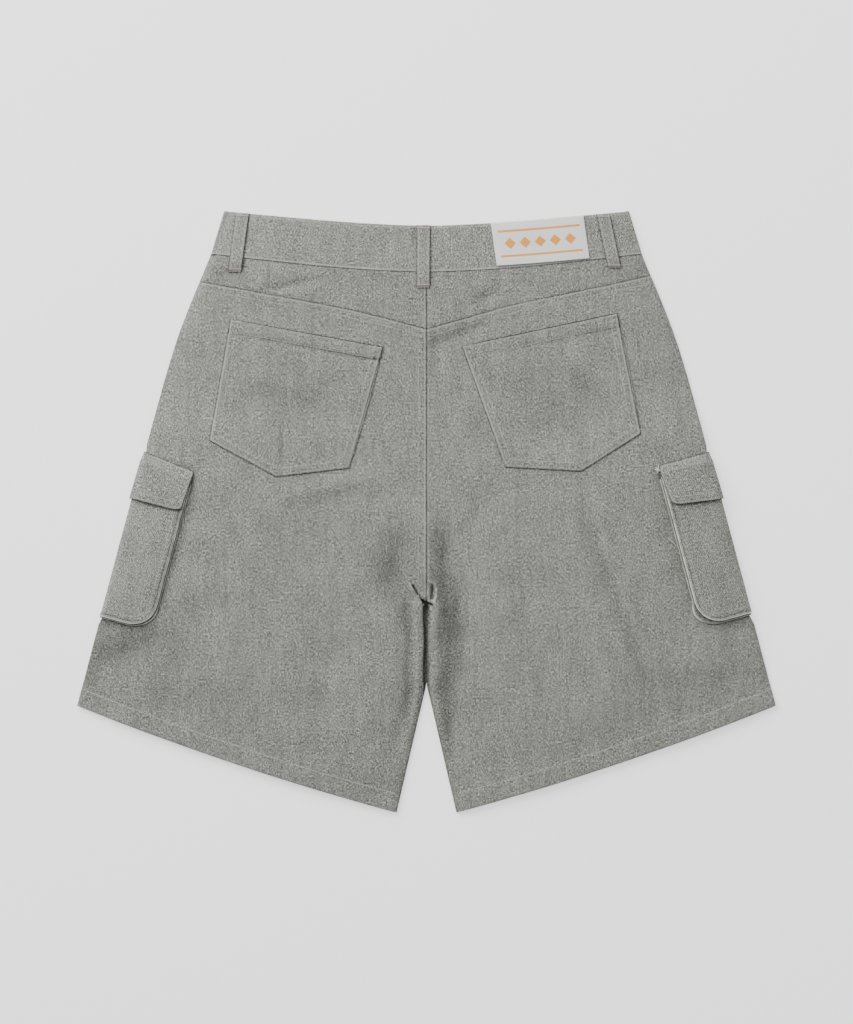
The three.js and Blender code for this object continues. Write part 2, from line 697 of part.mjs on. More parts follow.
const buttonY = (frontTopY(0) + frontSeamY(0)) / 2;
for (const side of ['left', 'right']) {
  add(`back_${side}`, backPanel(side), cottonGrey);
  add(`front_${side}`, frontPanel(side), cottonGrey);
  add(`yoke_${side}`, yoke(side), cottonGrey);
  add(`back_pocket_${side}`, seatPocket(side), pocketGrey);
}
for (const pocket of cargoPockets) {
  add(`cargo_pocket_${pocket.side}`, cargoPocket(pocket), pocketGrey);
  add(`cargo_flap_${pocket.side}`, cargoFlap(pocket), pocketGrey);
  add(`cargo_gusset_${pocket.side}`, cargoGusset(pocket), pocketGrey);
}
add('waistband', withButtonhole(waistband(), buttonY), bandGrey);
for (const loop of backLoops) {
  add(loop.name, backLoop(loop), bandGrey);
}
add('belt_loop_front_left', frontLoop(-1), bandGrey);
add('belt_loop_front_right', frontLoop(1), bandGrey);
add('patch', patch(), patchWhite);
add('zip', zip(), tapeGrey);
add('zip_slider', zipSlider(), metal);
add('waist_button', waistButton(buttonY), metal);

export default shorts;
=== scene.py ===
# %% [markdown]
# # Cargo shorts in grey twill, laid flat
# A pair of wide cargo shorts lies on a table with its back up. This lesson dresses the packed
# model of the shorts: the cut and sewn pieces are rebuilt here as fine thin shells on the same
# outlines, then get their creases, stitching, bar tacks and woven finish.
# Lengths below are millimetres, as a pattern cutter would write them. They turn into Blender's
# metres only when a mesh is made.

# %% Load the frame
import bpy
import numpy as np
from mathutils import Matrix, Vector


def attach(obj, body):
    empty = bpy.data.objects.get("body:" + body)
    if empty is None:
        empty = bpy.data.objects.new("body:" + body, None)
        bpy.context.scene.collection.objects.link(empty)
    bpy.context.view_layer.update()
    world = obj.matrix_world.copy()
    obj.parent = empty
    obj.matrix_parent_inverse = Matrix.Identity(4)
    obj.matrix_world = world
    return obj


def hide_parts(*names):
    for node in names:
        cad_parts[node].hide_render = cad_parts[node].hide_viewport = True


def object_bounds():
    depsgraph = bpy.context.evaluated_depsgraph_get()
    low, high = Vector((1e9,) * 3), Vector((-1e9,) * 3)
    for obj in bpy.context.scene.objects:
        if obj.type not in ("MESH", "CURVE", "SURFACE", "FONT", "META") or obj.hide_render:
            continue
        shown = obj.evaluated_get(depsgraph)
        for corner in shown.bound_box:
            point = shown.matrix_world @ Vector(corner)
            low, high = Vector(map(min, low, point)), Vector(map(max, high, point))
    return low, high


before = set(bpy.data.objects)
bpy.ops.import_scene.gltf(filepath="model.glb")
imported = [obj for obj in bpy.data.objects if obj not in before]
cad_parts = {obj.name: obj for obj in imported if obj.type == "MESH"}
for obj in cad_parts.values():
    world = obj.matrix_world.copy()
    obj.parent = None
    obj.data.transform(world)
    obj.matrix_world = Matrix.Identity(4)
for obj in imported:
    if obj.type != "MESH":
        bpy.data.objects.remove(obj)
cad_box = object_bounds()
MM = 0.001
print("pieces in the frame:", len(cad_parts), "box:", [list(corner) for corner in cad_box])

# %% [markdown]
# ## Camera
# The shorts are seen from straight above, as in a shop's flat lay. A long lens a few metres up
# keeps the outline free of perspective. It comes first, so that everything after it can be judged
# in the right view.

# %% Camera
view_height = 1.024
lens = 100
sensor = 36
lay_centre = [(low + high) / 2 for low, high in zip(*cad_box)]
camera_data = bpy.data.cameras.new("camera")
camera_data.lens = lens
camera_data.sensor_width = sensor
camera = bpy.data.objects.new("camera", camera_data)
camera.location = (lay_centre[0], lay_centre[1], lay_centre[2] + view_height * lens / sensor)
bpy.context.scene.collection.objects.link(camera)
bpy.context.scene.camera = camera
print("camera height:", round(camera.location.z, 3), "m")

# %% [markdown]
# ## Curves from short tables
# A cutter marks a few points and draws a smooth line through them with a French curve. `curve`
# does the same: it takes a table with named columns and gives back a function that reads the
# smooth line at any place, for one number or a whole array.

# %% Curve helpers
def curve(table, key, column):
    """A smooth line through a table's rows, run on straight past both ends."""
    places = np.array(table[key], float)
    values = np.array(table[column], float)
    order = np.argsort(places)
    places, values = places[order], values[order]
    slopes = np.gradient(values, places)

    def at(where):
        where = np.asarray(where, float)
        inside = np.clip(where, places[0], places[-1])
        row = np.clip(np.searchsorted(places, inside) - 1, 0, len(places) - 2)
        step = places[row + 1] - places[row]
        t = (inside - places[row]) / step
        bend = (2 * t**3 - 3 * t**2 + 1) * values[row] + (t**3 - 2 * t**2 + t) * step * slopes[row]
        bend += (3 * t**2 - 2 * t**3) * values[row + 1] + (t**3 - t**2) * step * slopes[row + 1]
        past = where - inside
        return bend + past * np.where(past > 0, slopes[-1], slopes[0])

    return at


def soft(t):
    """Rises smoothly from 0 to 1 as t does."""
    t = np.clip(t, 0, 1)
    return t * t * (3 - 2 * t)


def quarter_sine(t):
    return np.sin(np.clip(t, 0, 1) * np.pi / 2)


def mix(a, b, t):
    return a + (b - a) * t


def bell(off, width):
    """1 on a line, falling softly to 0 on both sides of it."""
    return np.exp(-((off / width) ** 2))


def fading(off, reach):
    """1 at an edge, dying away from it."""
    return np.exp(-off / reach)


def points_of(*values):
    """Arrays of x, y and z, or of two distances, as one array of points."""
    return np.stack(values, axis=-1)


def direction(a, b):
    """The step from one point of the plan towards another, one millimetre long."""
    step = np.array(b, float) - np.array(a, float)
    return step / np.hypot(*step)


def distance_along(points):
    """How far each point of a line lies from its first, along the line."""
    steps = np.linalg.norm(np.diff(points, axis=0), axis=1)
    return np.concatenate([[0], np.cumsum(steps)])


bend_test = curve({"at": [0, 1, 2], "value": [0, 1, 0]}, "at", "value")
print("a curve through 0, 1, 0, a quarter of the way:", round(float(bend_test(0.5)), 3))

# %% [markdown]
# ## The cut
# These are the garment's driving sizes and the lines that its pieces share: the side edge, the
# legs' inner edge, the hem and the seams of yoke and waistband. The two halves are mirror images
# but for the yoke seam, which lies a little higher on the right.

# %% Outline of the shorts
cloth = 1.2
band_wall = 2.0
gap = 0.3
half_gap = gap / 2
crotch = -90
hem_side, hem_side_half = -194, 350
hem_inner, hem_inner_half = -301, 30
hem_bow = 5.2
slot_half, slot_end = 3.2, -172
band_top_half, band_seam_half = 203, 216
side_edge = {
    "y": [301, 295, 283, 258, 222, 177, 132, 102, 72, -30, -194],
    "half": [200.5, 204.3, 208, 216, 231, 248.5, 262.5, 270.6, 278.5, 305.9, 350],
}
yoke_seam = {
    "x": [0, 34, 80, 142, 190, 230],
    "left": [183, 192, 203.2, 215, 224, 231.5],
    "right": [183, 192.5, 205.7, 219, 229.2, 238.5],
}
side_half = curve(side_edge, "y", "half")
yoke_line = {side: curve(yoke_seam, "x", side) for side in ("left", "right")}
sign_of = {"left": -1, "right": 1}


def wedge(y):
    """Half the open wedge between the legs, nothing above its tip."""
    return hem_inner_half * np.clip((slot_end - y) / (slot_end - hem_inner), 0, 1)


def inner_half(y):
    """Half the gap between the back's legs at a height. The front's legs still touch behind it."""
    legs = np.maximum(slot_half + 0.5 * np.sin(y / 9), wedge(y) + 0.3)
    return np.where(y > crotch, half_gap, mix(half_gap, legs, soft((crotch - y) / 5)))


def front_inner_half(y):
    return np.maximum(half_gap, wedge(y))


def band_top_y(part):
    return 286 + 15 * np.abs(part) ** 1.5


def band_seam_y(part):
    return 239.6 + 18.4 * np.abs(part) ** 1.6


def front_top_y(part):
    return 255 + 46 * part * part


def front_seam_y(part):
    return 209 + 49 * part * part


print("half width at the waist", band_top_half, "mm, at the hems", hem_side_half, "mm")

# %% [markdown]
# ## How the layers lie
# The front lies on the table and the back lies on the front. Each cargo pocket is wrapped round
# the side seam, so a third of it is on top and the rest is underneath, where it lifts the leg.
# Every layer's height is one function of its place, and each piece that lies on another is made
# from the same function, moved out, so the stack never cuts through itself.

# %% Heights of the layers
hip_y, hip_half = 72, 278.5
side_slope = (hem_side_half - hip_half) / (hip_y - hem_side)
flap_seam_y = 60
flap_seam_half = hip_half + (hip_y - flap_seam_y) * side_slope
down_x, down_y = np.array([side_slope, -1]) / np.hypot(side_slope, 1)
in_x, in_y = down_y, -down_x
pocket_front = 110
corner_radius = 25
cargo_pockets = {
    "left": dict(width=49, length=170, flap_drop=6, flap_end=48, cut=2.8, bellows=3, fold=1.2),
    "right": dict(width=49, length=166.5, flap_drop=0, flap_end=42, cut=4, bellows=8, fold=1.8),
}
flap_stack = 3 * (cloth + gap)
pocket_stack = 2 * (cloth + gap)
lift_flat, lift_ramp = 14, 60
front_loop_x = 105


def pocket_place(x, y):
    """Distance down the side edge from the flap's seam, and in from the edge."""
    off_x, off_y = np.abs(x) - flap_seam_half, y - flap_seam_y
    return off_x * down_x + off_y * down_y, off_x * in_x + off_y * in_y


def outside_cargo(pocket, across, down):
    """Distance out from a cargo pocket's rounded outline, below zero inside it."""
    past_side = across - (pocket["width"] - corner_radius)
    past_end = down - (pocket["length"] - corner_radius)
    corner = np.hypot(np.clip(past_side, 0, None), np.clip(past_end, 0, None))
    return corner + np.minimum(np.maximum(past_side, past_end), 0) - corner_radius


def cargo_lift(x, y):
    """How far the pocket's hidden half lifts the leg."""
    down, across = pocket_place(x, y)
    level = mix(flap_stack, pocket_stack, np.clip((down - 50) / 120, 0, 1))
    before = soft((down + lift_flat + lift_ramp) / lift_ramp)
    after = soft((170 + lift_flat + lift_ramp - down) / lift_ramp)
    inner = soft((pocket_front + lift_flat + lift_ramp - across) / lift_ramp)
    return level * before * after * inner


def tent(distance, flat, foot):
    return np.clip((foot - np.abs(distance)) / (foot - flat), 0, 1)


def trim_lift(x, y):
    """How far the waist button and the front's belt loops lift the front."""
    button = 1.9 * tent(x, 30, 75) * np.clip((y - 150) / 59, 0, 1)
    loops = (cloth + gap) * tent(np.abs(x) - front_loop_x, 32, 62) * np.clip((y - 112) / 40, 0, 1)
    return np.maximum(button, loops)


pocket_lift = float(cargo_lift(-flap_seam_half, flap_seam_y - 40))
print("the wrapped pocket lifts the leg by", round(pocket_lift, 1), "mm")

# %% [markdown]
# ## Creases of the front
# Cloth that has been worn, washed and laid down keeps soft folds. A table names them: each row is
# a line on the garment, how wide the fold spreads and how far it rises. `crease_height` adds a
# table's rows up, and lets each fold fade at its ends. The front's folds are few and low, because
# it is pressed between the table and the back.

# %% Creases of the front
front_crease_rows = [
    # from x, from y, to x, to y, spread, rise off the table
    ("left thigh, long", -132, 70, -104, -150, 9, 1.2),
    ("left thigh, short", -70, -40, -82, -214, 8, 0.9),
    ("right thigh, long", 118, 96, 128, -120, 10, 1.3),
    ("right thigh, short", 62, -70, 90, -236, 8, 0.9),
    ("left crotch drag", -16, 10, -86, 62, 7, 0.8),
    ("left crotch drag, lower", -20, -34, -96, -8, 7, 0.7),
    ("right crotch drag", 18, 24, 92, 58, 8, 0.9),
    ("right crotch drag, lower", 16, -46, 84, -26, 6, 0.6),
]
crease_columns = ("name", "x0", "y0", "x1", "y1", "spread", "rise", "wear_and_painted_light")


def creases_of(rows):
    """A table's rows with their columns named."""
    return [dict(zip(crease_columns, row)) for row in rows]


front_creases = creases_of(front_crease_rows)
print("creases of the front:", len(front_creases))


def crease_height(x, y, rows, ends=0.55, column="rise"):
    """A table's creases together, each fading softly to a share of itself at its ends."""
    total = np.zeros_like(x, dtype=float)
    for c in rows:
        along_x, along_y = c["x1"] - c["x0"], c["y1"] - c["y0"]
        length = np.hypot(along_x, along_y)
        t = ((x - c["x0"]) * along_x + (y - c["y0"]) * along_y) / length**2
        near = np.clip(t, 0, 1)
        off = np.hypot(x - c["x0"] - along_x * near, y - c["y0"] - along_y * near)
        fade = ends + (1 - ends) * np.sin(np.pi * np.clip(near, 0, 1)) ** 0.8
        total += c[column] * fade * bell(off, c["spread"])
    return total


def front_folds(x, y):
    """The front's own creases stand a little off the table, in from every edge."""
    inner = soft((side_half(y) - np.abs(x) - 118) / 40) * soft((np.abs(x) - 4) / 14)
    return crease_height(x, y, front_creases, 0.2) * inner * soft((y + 268) / 40)


def front_under(x, y):
    return cargo_lift(x, y) + trim_lift(x, y) + front_folds(x, y)

# %% [markdown]
# ## Creases of the back
# The back has the same kind of table, with more rows and one more column. They fan out from the
# crotch, run down the legs, and pool over the seat pockets. Uneven lengths and depths matter more
# than their number. The last column is painted tone: below zero the trough is painted dark as
# shade, and above zero the cloth is painted paler, as rubbed wear and light on a ridge. A few rows
# hardly rise and are there only for their painted tone.
#
# Where the four inner seams meet, the thick allowances pinch the cloth into short sharp folds: a
# pleat on the left leg, a small ear on the right, and a dip between them at the top of the gap.
# They have a table of their own, because they keep nearly all their depth to their ends. Their
# grooves are painted dark as shade, and their ridges and the pleat's lip pale as highlights.
#
# A slow wander over the whole cloth, made of a few long seeded waves, keeps the stretches between
# the folds from being dead flat.

# %% Creases of the back
crease_rows = [
    # from x, from y, to x, to y, spread, rise, and painted tone: below zero painted shade, above zero paler
    ("right inner leg valley", 13, -10, 18, -66, 9, -2.4, -0.40),
    ("right inner leg valley, middle", 24, -74, 28, -150, 13, -1.6, -0.58),
    ("right inner leg valley, lower", 25, -158, 19, -236, 9, -1.6, -0.34),
    ("beside the left cargo pocket", -237, -1, -266, -97, 7, -2.6, -0.09),
    ("below the left cargo pocket", -322, -146, -262, -118, 16, -2.2, -0.38),
    ("beside the right cargo pocket", 232, 2, 272, -95, 7, -2.6, -0.09),
    ("below the right cargo pocket", 300, -118, 334, -112, 7, -1.6, -0.06),
    ("right inner leg ridge", 64, -56, 72, -170, 19, 1.6, 0.20),
    ("right leg long trough", 157, 1, 232, -202, 8, -3.0, -0.20),
    ("right leg long ridge", 170, -6, 246, -206, 7, 2.0, 0.12),
    ("right leg second ridge", 140, -20, 200, -200, 10, 1.2, 0),
    ("right hem corner shade", 300, -128, 312, -180, 14, -1.8, -0.06),
    ("right of the centre seam", 10, 136, 10, 172, 7, -2.2, -0.08),
    ("under the yoke, right", 8, 166, 58, 186, 6, -1.8, -0.06),
    ("yoke dimple, right", 46, 207, 70, 219, 6, -1.6, -0.06),
    ("right pocket hollow, upper", 92, 128, 116, 134, 16, -2.8, -0.16),
    ("right pocket hollow, middle", 112, 108, 140, 108, 17, -2.4, -0.19),
    ("right pocket hollow, outer", 152, 132, 172, 112, 13, -2.4, -0.2),
    ("right pocket drag", 92, 88, 130, 74, 9, -1.2, 0),
    ("right pocket corner pull", 60, 150, 92, 120, 10, 0.9, 0),
    ("left crotch hollow", -28, -40, -36, -80, 17, -6.0, -0.38),
    ("left of the crotch, upper drag", -60, -14, -30, -40, 8, -1.2, 0),
    ("left inner leg valley", -15.5, -96, -17, -216, 5, -1.4, -0.26),
    ("left pocket hollow, outer", -166, 116, -146, 122, 15, -2.6, -0.18),
    ("left pocket hollow, middle", -134, 106, -100, 112, 15, -2.4, -0.20),
    ("left pocket hollow, inner", -98, 136, -90, 126, 9, -1.8, -0.14),
    ("left pocket short crease", -142, 42, -142, 84, 5, -1.8, -0.06),
    ("left pocket upper drag", -190, 150, -120, 136, 9, -0.8, 0),
    ("yoke wrinkle, left", -163, 221, -106, 232, 5, -1.8, -0.06),
    ("yoke wrinkle, far left", -206, 236, -176, 246, 5, -0.9, -0.08),
    ("yoke shade beside the middle loop", -9, 252, -9, 262, 5, -0.6, -0.22),
    ("ridge under the left pocket", -142, 14, -62, 34, 9, 2.0, 0),
    ("under the left cargo pocket", -338, -112, -286, -140, 20, -2.6, -0.09),
    ("left thigh ridge", -120, -60, -150, -190, 16, 1.8, 0),
    ("left thigh trough", -92, -110, -112, -236, 12, -2.0, -0.07),
    ("left outer trough", -232, -110, -262, -196, 14, -1.8, -0.06),
    ("right thigh trough", 96, -84, 124, -210, 13, -1.8, -0.06),
    ("left hip trough", -214, 150, -236, 96, 12, -1.2, 0),
    ("right hip trough", 226, 160, 244, 100, 11, -1.0, 0),
    ("left seat drag line", -66, 20, -16, -62, 9, -1.3, 0),
    ("right seat drag line", 74, 26, 30, -30, 10, -1.2, 0),
    ("centre seam ridge", -1, 20, 2, -84, 5, 1.1, 0),
    ("left hem inner curl", -34, -286, -60, -280, 14, -1.2, 0),
    ("left of the gap, top", -21, -84, -24, -112, 10, -0.8, -0.26),
    ("left hem corner shade", -332, -150, -338, -182, 11, -0.6, -0.26),
    ("yoke shade, left of the middle", -66, 238, -12, 236, 12, -0.3, -0.17),
    ("yoke shade, far left", -214, 238, -186, 236, 9, -0.5, -0.20),
    ("right pocket corner shade", 52, 150, 58, 142, 8, -0.4, -0.20),
    # these rows paint the cloth paler over low ridges, as rubbed wear and painted light
    ("left leg, rubbed", -188, -112, -182, -190, 20, 0.7, 0.24),
    ("left leg, rubbed inner side", -94, -78, -90, -130, 18, 0.7, 0.22),
    ("left leg, rubbed top", -150, -34, -112, -38, 16, 0.5, 0.18),
    ("right leg, rubbed at the hem", 138, -214, 208, -180, 18, 0.6, 0.30),
    ("right leg, rubbed outer side", 262, -150, 300, -160, 20, 0.5, 0.16),
    ("left seat, rubbed", -84, 62, -60, 28, 18, 0.6, 0.32),
    ("yoke, rubbed left", -140, 205, -112, 203, 12, 0.4, 0.2),
    ("yoke, rubbed right", 78, 207, 104, 209, 12, 0.4, 0.2),
]
# grooves painted dark as shade; ridges and the pleat's lip painted pale as highlights
pinch_rows = [
    # the same columns
    ("left pleat", -14.3, -73.2, -4.2, -88.6, 0.9, -2.4, -0.9),
    ("left pleat, top", -14.0, -74.0, -12.9, -76.0, 1.3, -0.6, -0.6),
    ("left pleat lip", -16.6, -72.0, -13.4, -78.8, 1.1, 1.2, 1.9),
    ("top of the gap, left", -4.2, -88.4, -2.4, -90.2, 1.4, -1.4, -1.6),
    ("top of the gap, middle", -2.4, -90.2, 0.6, -90.6, 1.8, -1.4, -1.7),
    ("top of the gap, right", 0.6, -90.4, 6.4, -92.9, 1.0, -1.4, -1.5),
    ("ear ridge, top", 2.2, -69.0, 8.4, -72.4, 1.3, 1.4, 1.2),
    ("ear ridge, corner", 8.4, -72.4, 10.3, -78.0, 1.3, 1.5, 1.2),
    ("ear ridge, side", 10.3, -78.0, 9.9, -84.5, 1.4, 1.7, 1.1),
    ("ear ridge, foot", 9.9, -84.5, 8.2, -91.5, 1.4, 1.7, 1.1),
    ("ear groove", 6.2, -73.8, 5.2, -87.2, 1.7, -2.2, -0.85),
    ("outside the ear", 16, -66, 19, -104, 4.0, -1.3, -0.1),
]
creases, pinches = creases_of(crease_rows), creases_of(pinch_rows)


# the folds' painted tone: shade in troughs and grooves, paler on ridges
def crease_wear_and_painted_light(x, y):
    return crease_height(x, y, creases, 0.55, "wear_and_painted_light") + crease_height(x, y, pinches, 0.75, "wear_and_painted_light")


rng = np.random.default_rng(7)
wave_count = 22
wander_waves = [
    dict(
        length=rng.uniform(45, 170),
        heading=rng.uniform(0, np.pi),
        phase=rng.uniform(0, 2 * np.pi),
        rise=rng.uniform(0.06, 0.22),
    )
    for _ in range(wave_count)
]
print("creases of the back:", len(creases), "pinches:", len(pinches))


def wander(x, y):
    """The slow unevenness of laid cloth."""
    total = np.zeros_like(x, dtype=float)
    for wave in wander_waves:
        run = x * np.cos(wave["heading"]) + y * np.sin(wave["heading"])
        drift = 6 * np.sin((x * 0.7 - y * 0.4) / 60 + wave["phase"])
        total += wave["rise"] * np.sin(2 * np.pi * (run + drift) / wave["length"] + wave["phase"])
    return total

# %% [markdown]
# ## The lie of the back
# Away from its edges the back lies a few millimetres off the front. It comes down in a rounded
# roll at the side seams and the inseams, and lower and looser at the hems.

# %% Height of the back's underside
puff = 5.0


def inseam_relief(x, y, from_inseam):
    """The inseam's allowance makes a low ridge beside it, with a valley past the ridge."""
    below = soft((crotch + 24 - y) / 30) * soft((y + 262) / 60)
    if_left = 0.9 * bell(from_inseam - 5, 3.5) - 1.3 * bell(from_inseam - 15, 5.5)
    if_right = 2.6 * bell(from_inseam - 6, 6.5) - 1.2 * bell(from_inseam - 24, 9)
    return below * np.where(x > 0, if_right, if_left)


def back_under(x, y):
    from_side = side_half(y) - np.abs(x)
    from_inseam = np.where(y < crotch, np.abs(x) - inner_half(y), np.hypot(x, y - crotch))
    hem_place = mix(hem_inner, hem_side, (np.abs(x) - hem_inner_half) / (hem_side_half - hem_inner_half))
    near_hem = mix(0.4, 1, soft((y - hem_place) / 80))
    inseam_reach = mix(45, 120, soft((x - 2) / 26))
    swell = puff * quarter_sine(from_side / 80) * quarter_sine(from_inseam / inseam_reach)
    side_roll = 1.0 - fading(np.clip(from_side, 0, None), 5)
    near_crotch = soft((crotch + 3 - y) / 6) * soft((y + 186) / 20)
    seam_roll = 1.0 - (1 - near_crotch) * fading(np.clip(from_inseam, 0, None), 4)
    inseam = inseam_relief(x, y, from_inseam)
    roll = 1.6 * side_roll * seam_roll + 2.6 * near_crotch * fading(from_inseam, 20)
    waist_side = 1.4 * np.clip((y - 165) / 85, 0, 1) * np.clip(from_side / 7, 0, 1)
    closure = 2.2 * bell(x, 72) * bell(y - 236, 62)
    edge_fade = quarter_sine(np.minimum(from_side, from_inseam) / 16)
    folds = (crease_height(x, y, creases) + wander(x, y)) * edge_fade
    gathers = crease_height(x, y, pinches, 0.6) * soft(from_inseam / 1.5)
    loose = np.maximum(0.05 + front_folds(x, y), swell * near_hem + roll + folds + gathers + inseam)
    return cloth + gap + cargo_lift(x, y) + loose + waist_side + closure


def back_top(x, y):
    return back_under(x, y) + cloth


print("the back lies", round(float(back_top(np.array(100.0), np.array(60.0))), 1), "mm up in mid seat")

# %% [markdown]
# ## From a grid to a piece of cloth
# Every piece is laid out as a grid of points on its outer face: columns along one edge, rows down
# the other, closer together near edges and seams where the shape turns. `cloth_piece` gives that
# grid a wall by moving it in along its own normals, and closes the cut edge with a slightly
# rounded rim. The grid's distances along warp and weft go into a UV map named `weave`, in
# millimetres, so the woven finish follows the cut of each piece. A vertex attribute carries wear
# and painted light. Above zero the cloth is rubbed pale or painted paler on a ridge. Below zero,
# shade is painted dark into crevices, folds and gaps. Above one it is worn through to bare thread,
# or painted as a bright highlight.

# %% Mesh helpers
def spaced(length, step, edge_steps=(0, 0.6, 1.3, 2.2, 3.4, 5, 7)):
    """Distances from 0 to length, about `step` apart and closer at both ends."""
    edge = np.array([e for e in edge_steps if e < length / 2.5])
    middle = np.linspace(edge[-1], length - edge[-1], max(2, int((length - 2 * edge[-1]) / step) + 1))
    return np.concatenate([edge[:-1], middle, length - edge[:-1][::-1]])


def grid_normals(points):
    down = np.gradient(points, axis=0)
    across = np.gradient(points, axis=1)
    normal = np.cross(down, across)
    return normal / np.linalg.norm(normal, axis=2, keepdims=True)


def link(obj):
    bpy.context.scene.collection.objects.link(obj)
    return obj


def grid_edge(rows, columns):
    """Row and column of each point round the edge of a grid, in order."""
    edge = [(0, c) for c in range(columns)] + [(r, columns - 1) for r in range(1, rows)]
    edge += [(rows - 1, c) for c in range(columns - 2, -1, -1)] + [(r, 0) for r in range(rows - 2, 0, -1)]
    return np.array(edge).T


print("rows in a panel 100 mm long:", len(spaced(100, 2.5)))

# %% [markdown]
# The shell itself is built in three steps: points for both faces and for the rim between them,
# four-sided faces through those points, and the mesh with its map and its attribute. The inside
# is painted a little darker, as shade. The rim takes a quarter of the outer edge's wear and
# painted shade, so that a cut edge doesn't shine.

# %% Closed shell of cloth
rim_roundness = 0.28
# the inside's painted shade, and the rim's share of the outer edge's wear and painted shade
inside_shade, rim_wear_and_shade = -0.2, 0.25


def rim_points(outer, inner, at_edge, wall):
    """Points half way between the two faces, moved out a little so that the cut edge is round."""
    rows, columns = outer.shape[:2]
    edge_rows, edge_columns = at_edge
    beside = outer[np.clip(edge_rows, 1, rows - 2), np.clip(edge_columns, 1, columns - 2)]
    away = outer[edge_rows, edge_columns] - beside
    away /= np.linalg.norm(away, axis=1, keepdims=True)
    middle = (outer[edge_rows, edge_columns] + inner[edge_rows, edge_columns]) / 2
    return middle + away * wall * rim_roundness, away


def shell_faces(rows, columns, ring):
    """Faces of the outer face, the inner one behind it, and the rim along the ring of edge points."""
    count = rows * columns
    index = np.arange(count).reshape(rows, columns)
    top = points_of(index[:-1, :-1], index[:-1, 1:], index[1:, 1:], index[1:, :-1]).reshape(-1, 4)
    after = np.roll(ring, -1)
    middle = 2 * count + np.arange(len(ring))
    middle_after = np.roll(middle, -1)
    rim = np.concatenate([
        points_of(ring, middle, middle_after, after),
        points_of(middle, ring + count, after + count, middle_after),
    ])
    return top, rim


def cloth_piece(name, outer, wall, weave, wear_and_painted_light, outward):
    """A closed thin shell. outward is 1 if its first column's outer face looks up, -1 if down."""
    rows, columns = outer.shape[:2]
    normal = grid_normals(outer)
    if normal[rows // 2, 0, 2] * outward < 0:
        normal = -normal
    inner = outer - normal * wall
    at_edge = grid_edge(rows, columns)
    ring = at_edge[0] * columns + at_edge[1]
    middle, away = rim_points(outer, inner, at_edge, wall)
    points = np.concatenate([outer.reshape(-1, 3), inner.reshape(-1, 3), middle])
    top, rim = shell_faces(rows, columns, ring)
    face_normal = np.cross(outer[0, 1] - outer[0, 0], outer[1, 1] - outer[0, 0])
    if face_normal @ normal[0, 0] < 0:
        top = top[:, ::-1]
    probe = points[rim[0]]
    if np.cross(probe[1] - probe[0], probe[2] - probe[0]) @ away[0] < 0:
        rim = rim[:, ::-1]
    faces = np.concatenate([top, top[:, ::-1] + rows * columns, rim])
    mesh = bpy.data.meshes.new(name)
    mesh.from_pydata((points * MM).tolist(), [], faces.tolist())
    mesh.polygons.foreach_set("use_smooth", np.ones(len(faces), bool))
    flat_weave = weave.reshape(-1, 2)
    all_weave = np.concatenate([flat_weave, flat_weave, flat_weave[ring]])
    corner = np.empty(len(mesh.loops), int)
    mesh.loops.foreach_get("vertex_index", corner)
    mesh.uv_layers.new(name="weave").data.foreach_set("uv", all_weave[corner].ravel())
    flat_wear_and_shade = np.broadcast_to(wear_and_painted_light, (rows, columns)).ravel()
    all_wear_and_shade = np.concatenate([flat_wear_and_shade, 0 * flat_wear_and_shade + inside_shade, rim_wear_and_shade * flat_wear_and_shade[ring]])
    mesh.attributes.new("wear_and_painted_light", "FLOAT", "POINT").data.foreach_set("value", all_wear_and_shade)
    mesh.update()
    return link(bpy.data.objects.new(name, mesh))


def edge_wear_and_shade(off):
    """Rubbed pale just inside an edge, with shade painted dark into the crevice at the edge itself."""
    return 0.9 * bell(off - 1.5, 0.9) - 1.1 * bell(off, 0.75)


print("wear at an edge, and 1.5 mm inside it:", np.round(edge_wear_and_shade(np.array([0, 1.5])), 2))

# %% [markdown]
# ## Shader nodes in few words
# A finish is a small graph of nodes. Building it by hand means the same three lines again and
# again: make a node, set it up, fill its sockets. `node` does them at once, and takes either a
# plain value or another node's output for each socket. The other helpers are the four nodes that
# every finish here is made of: noise, arithmetic, a ramp from grey to colour, and a mix.

# %% Finish helpers
def node(tree, kind, inputs, **settings):
    """A new shader node. An input is a plain value or the output of another node."""
    made = tree.nodes.new("ShaderNode" + kind)
    for name, value in settings.items():
        setattr(made, name, value)
    for name, value in inputs.items():
        if isinstance(value, bpy.types.NodeSocket):
            tree.links.new(value, made.inputs[name])
        else:
            made.inputs[name].default_value = value
    return made


def new_material(name, **settings):
    """A material with its node tree and its main shader, which has the settings by socket name."""
    material = bpy.data.materials.new(name)
    material.use_nodes = True
    tree = material.node_tree
    shader = tree.nodes["Principled BSDF"]
    for socket, value in settings.items():
        shader.inputs[socket.replace("_", " ")].default_value = value
    return material, tree, shader


def noise(tree, vector, scale, stretch=(1, 1, 1), detail=2.0, roughness=0.55):
    place = node(tree, "Mapping", {"Vector": vector, "Scale": stretch}).outputs["Vector"]
    inputs = {"Vector": place, "Scale": scale, "Detail": detail, "Roughness": roughness}
    return node(tree, "TexNoise", inputs).outputs["Fac"]


def math_node(tree, operation, *values):
    return node(tree, "Math", dict(enumerate(values)), operation=operation).outputs["Value"]


def ramp(tree, factor, stops):
    """Colours run into each other along the factor. stops are pairs of a place and a colour."""
    made = node(tree, "ValToRGB", {"Fac": factor})
    while len(made.color_ramp.elements) < len(stops):
        made.color_ramp.elements.new(0.5)
    for element, (place, color) in zip(made.color_ramp.elements, stops):
        element.position = place
        element.color = (*color, 1)
    return made.outputs["Color"]


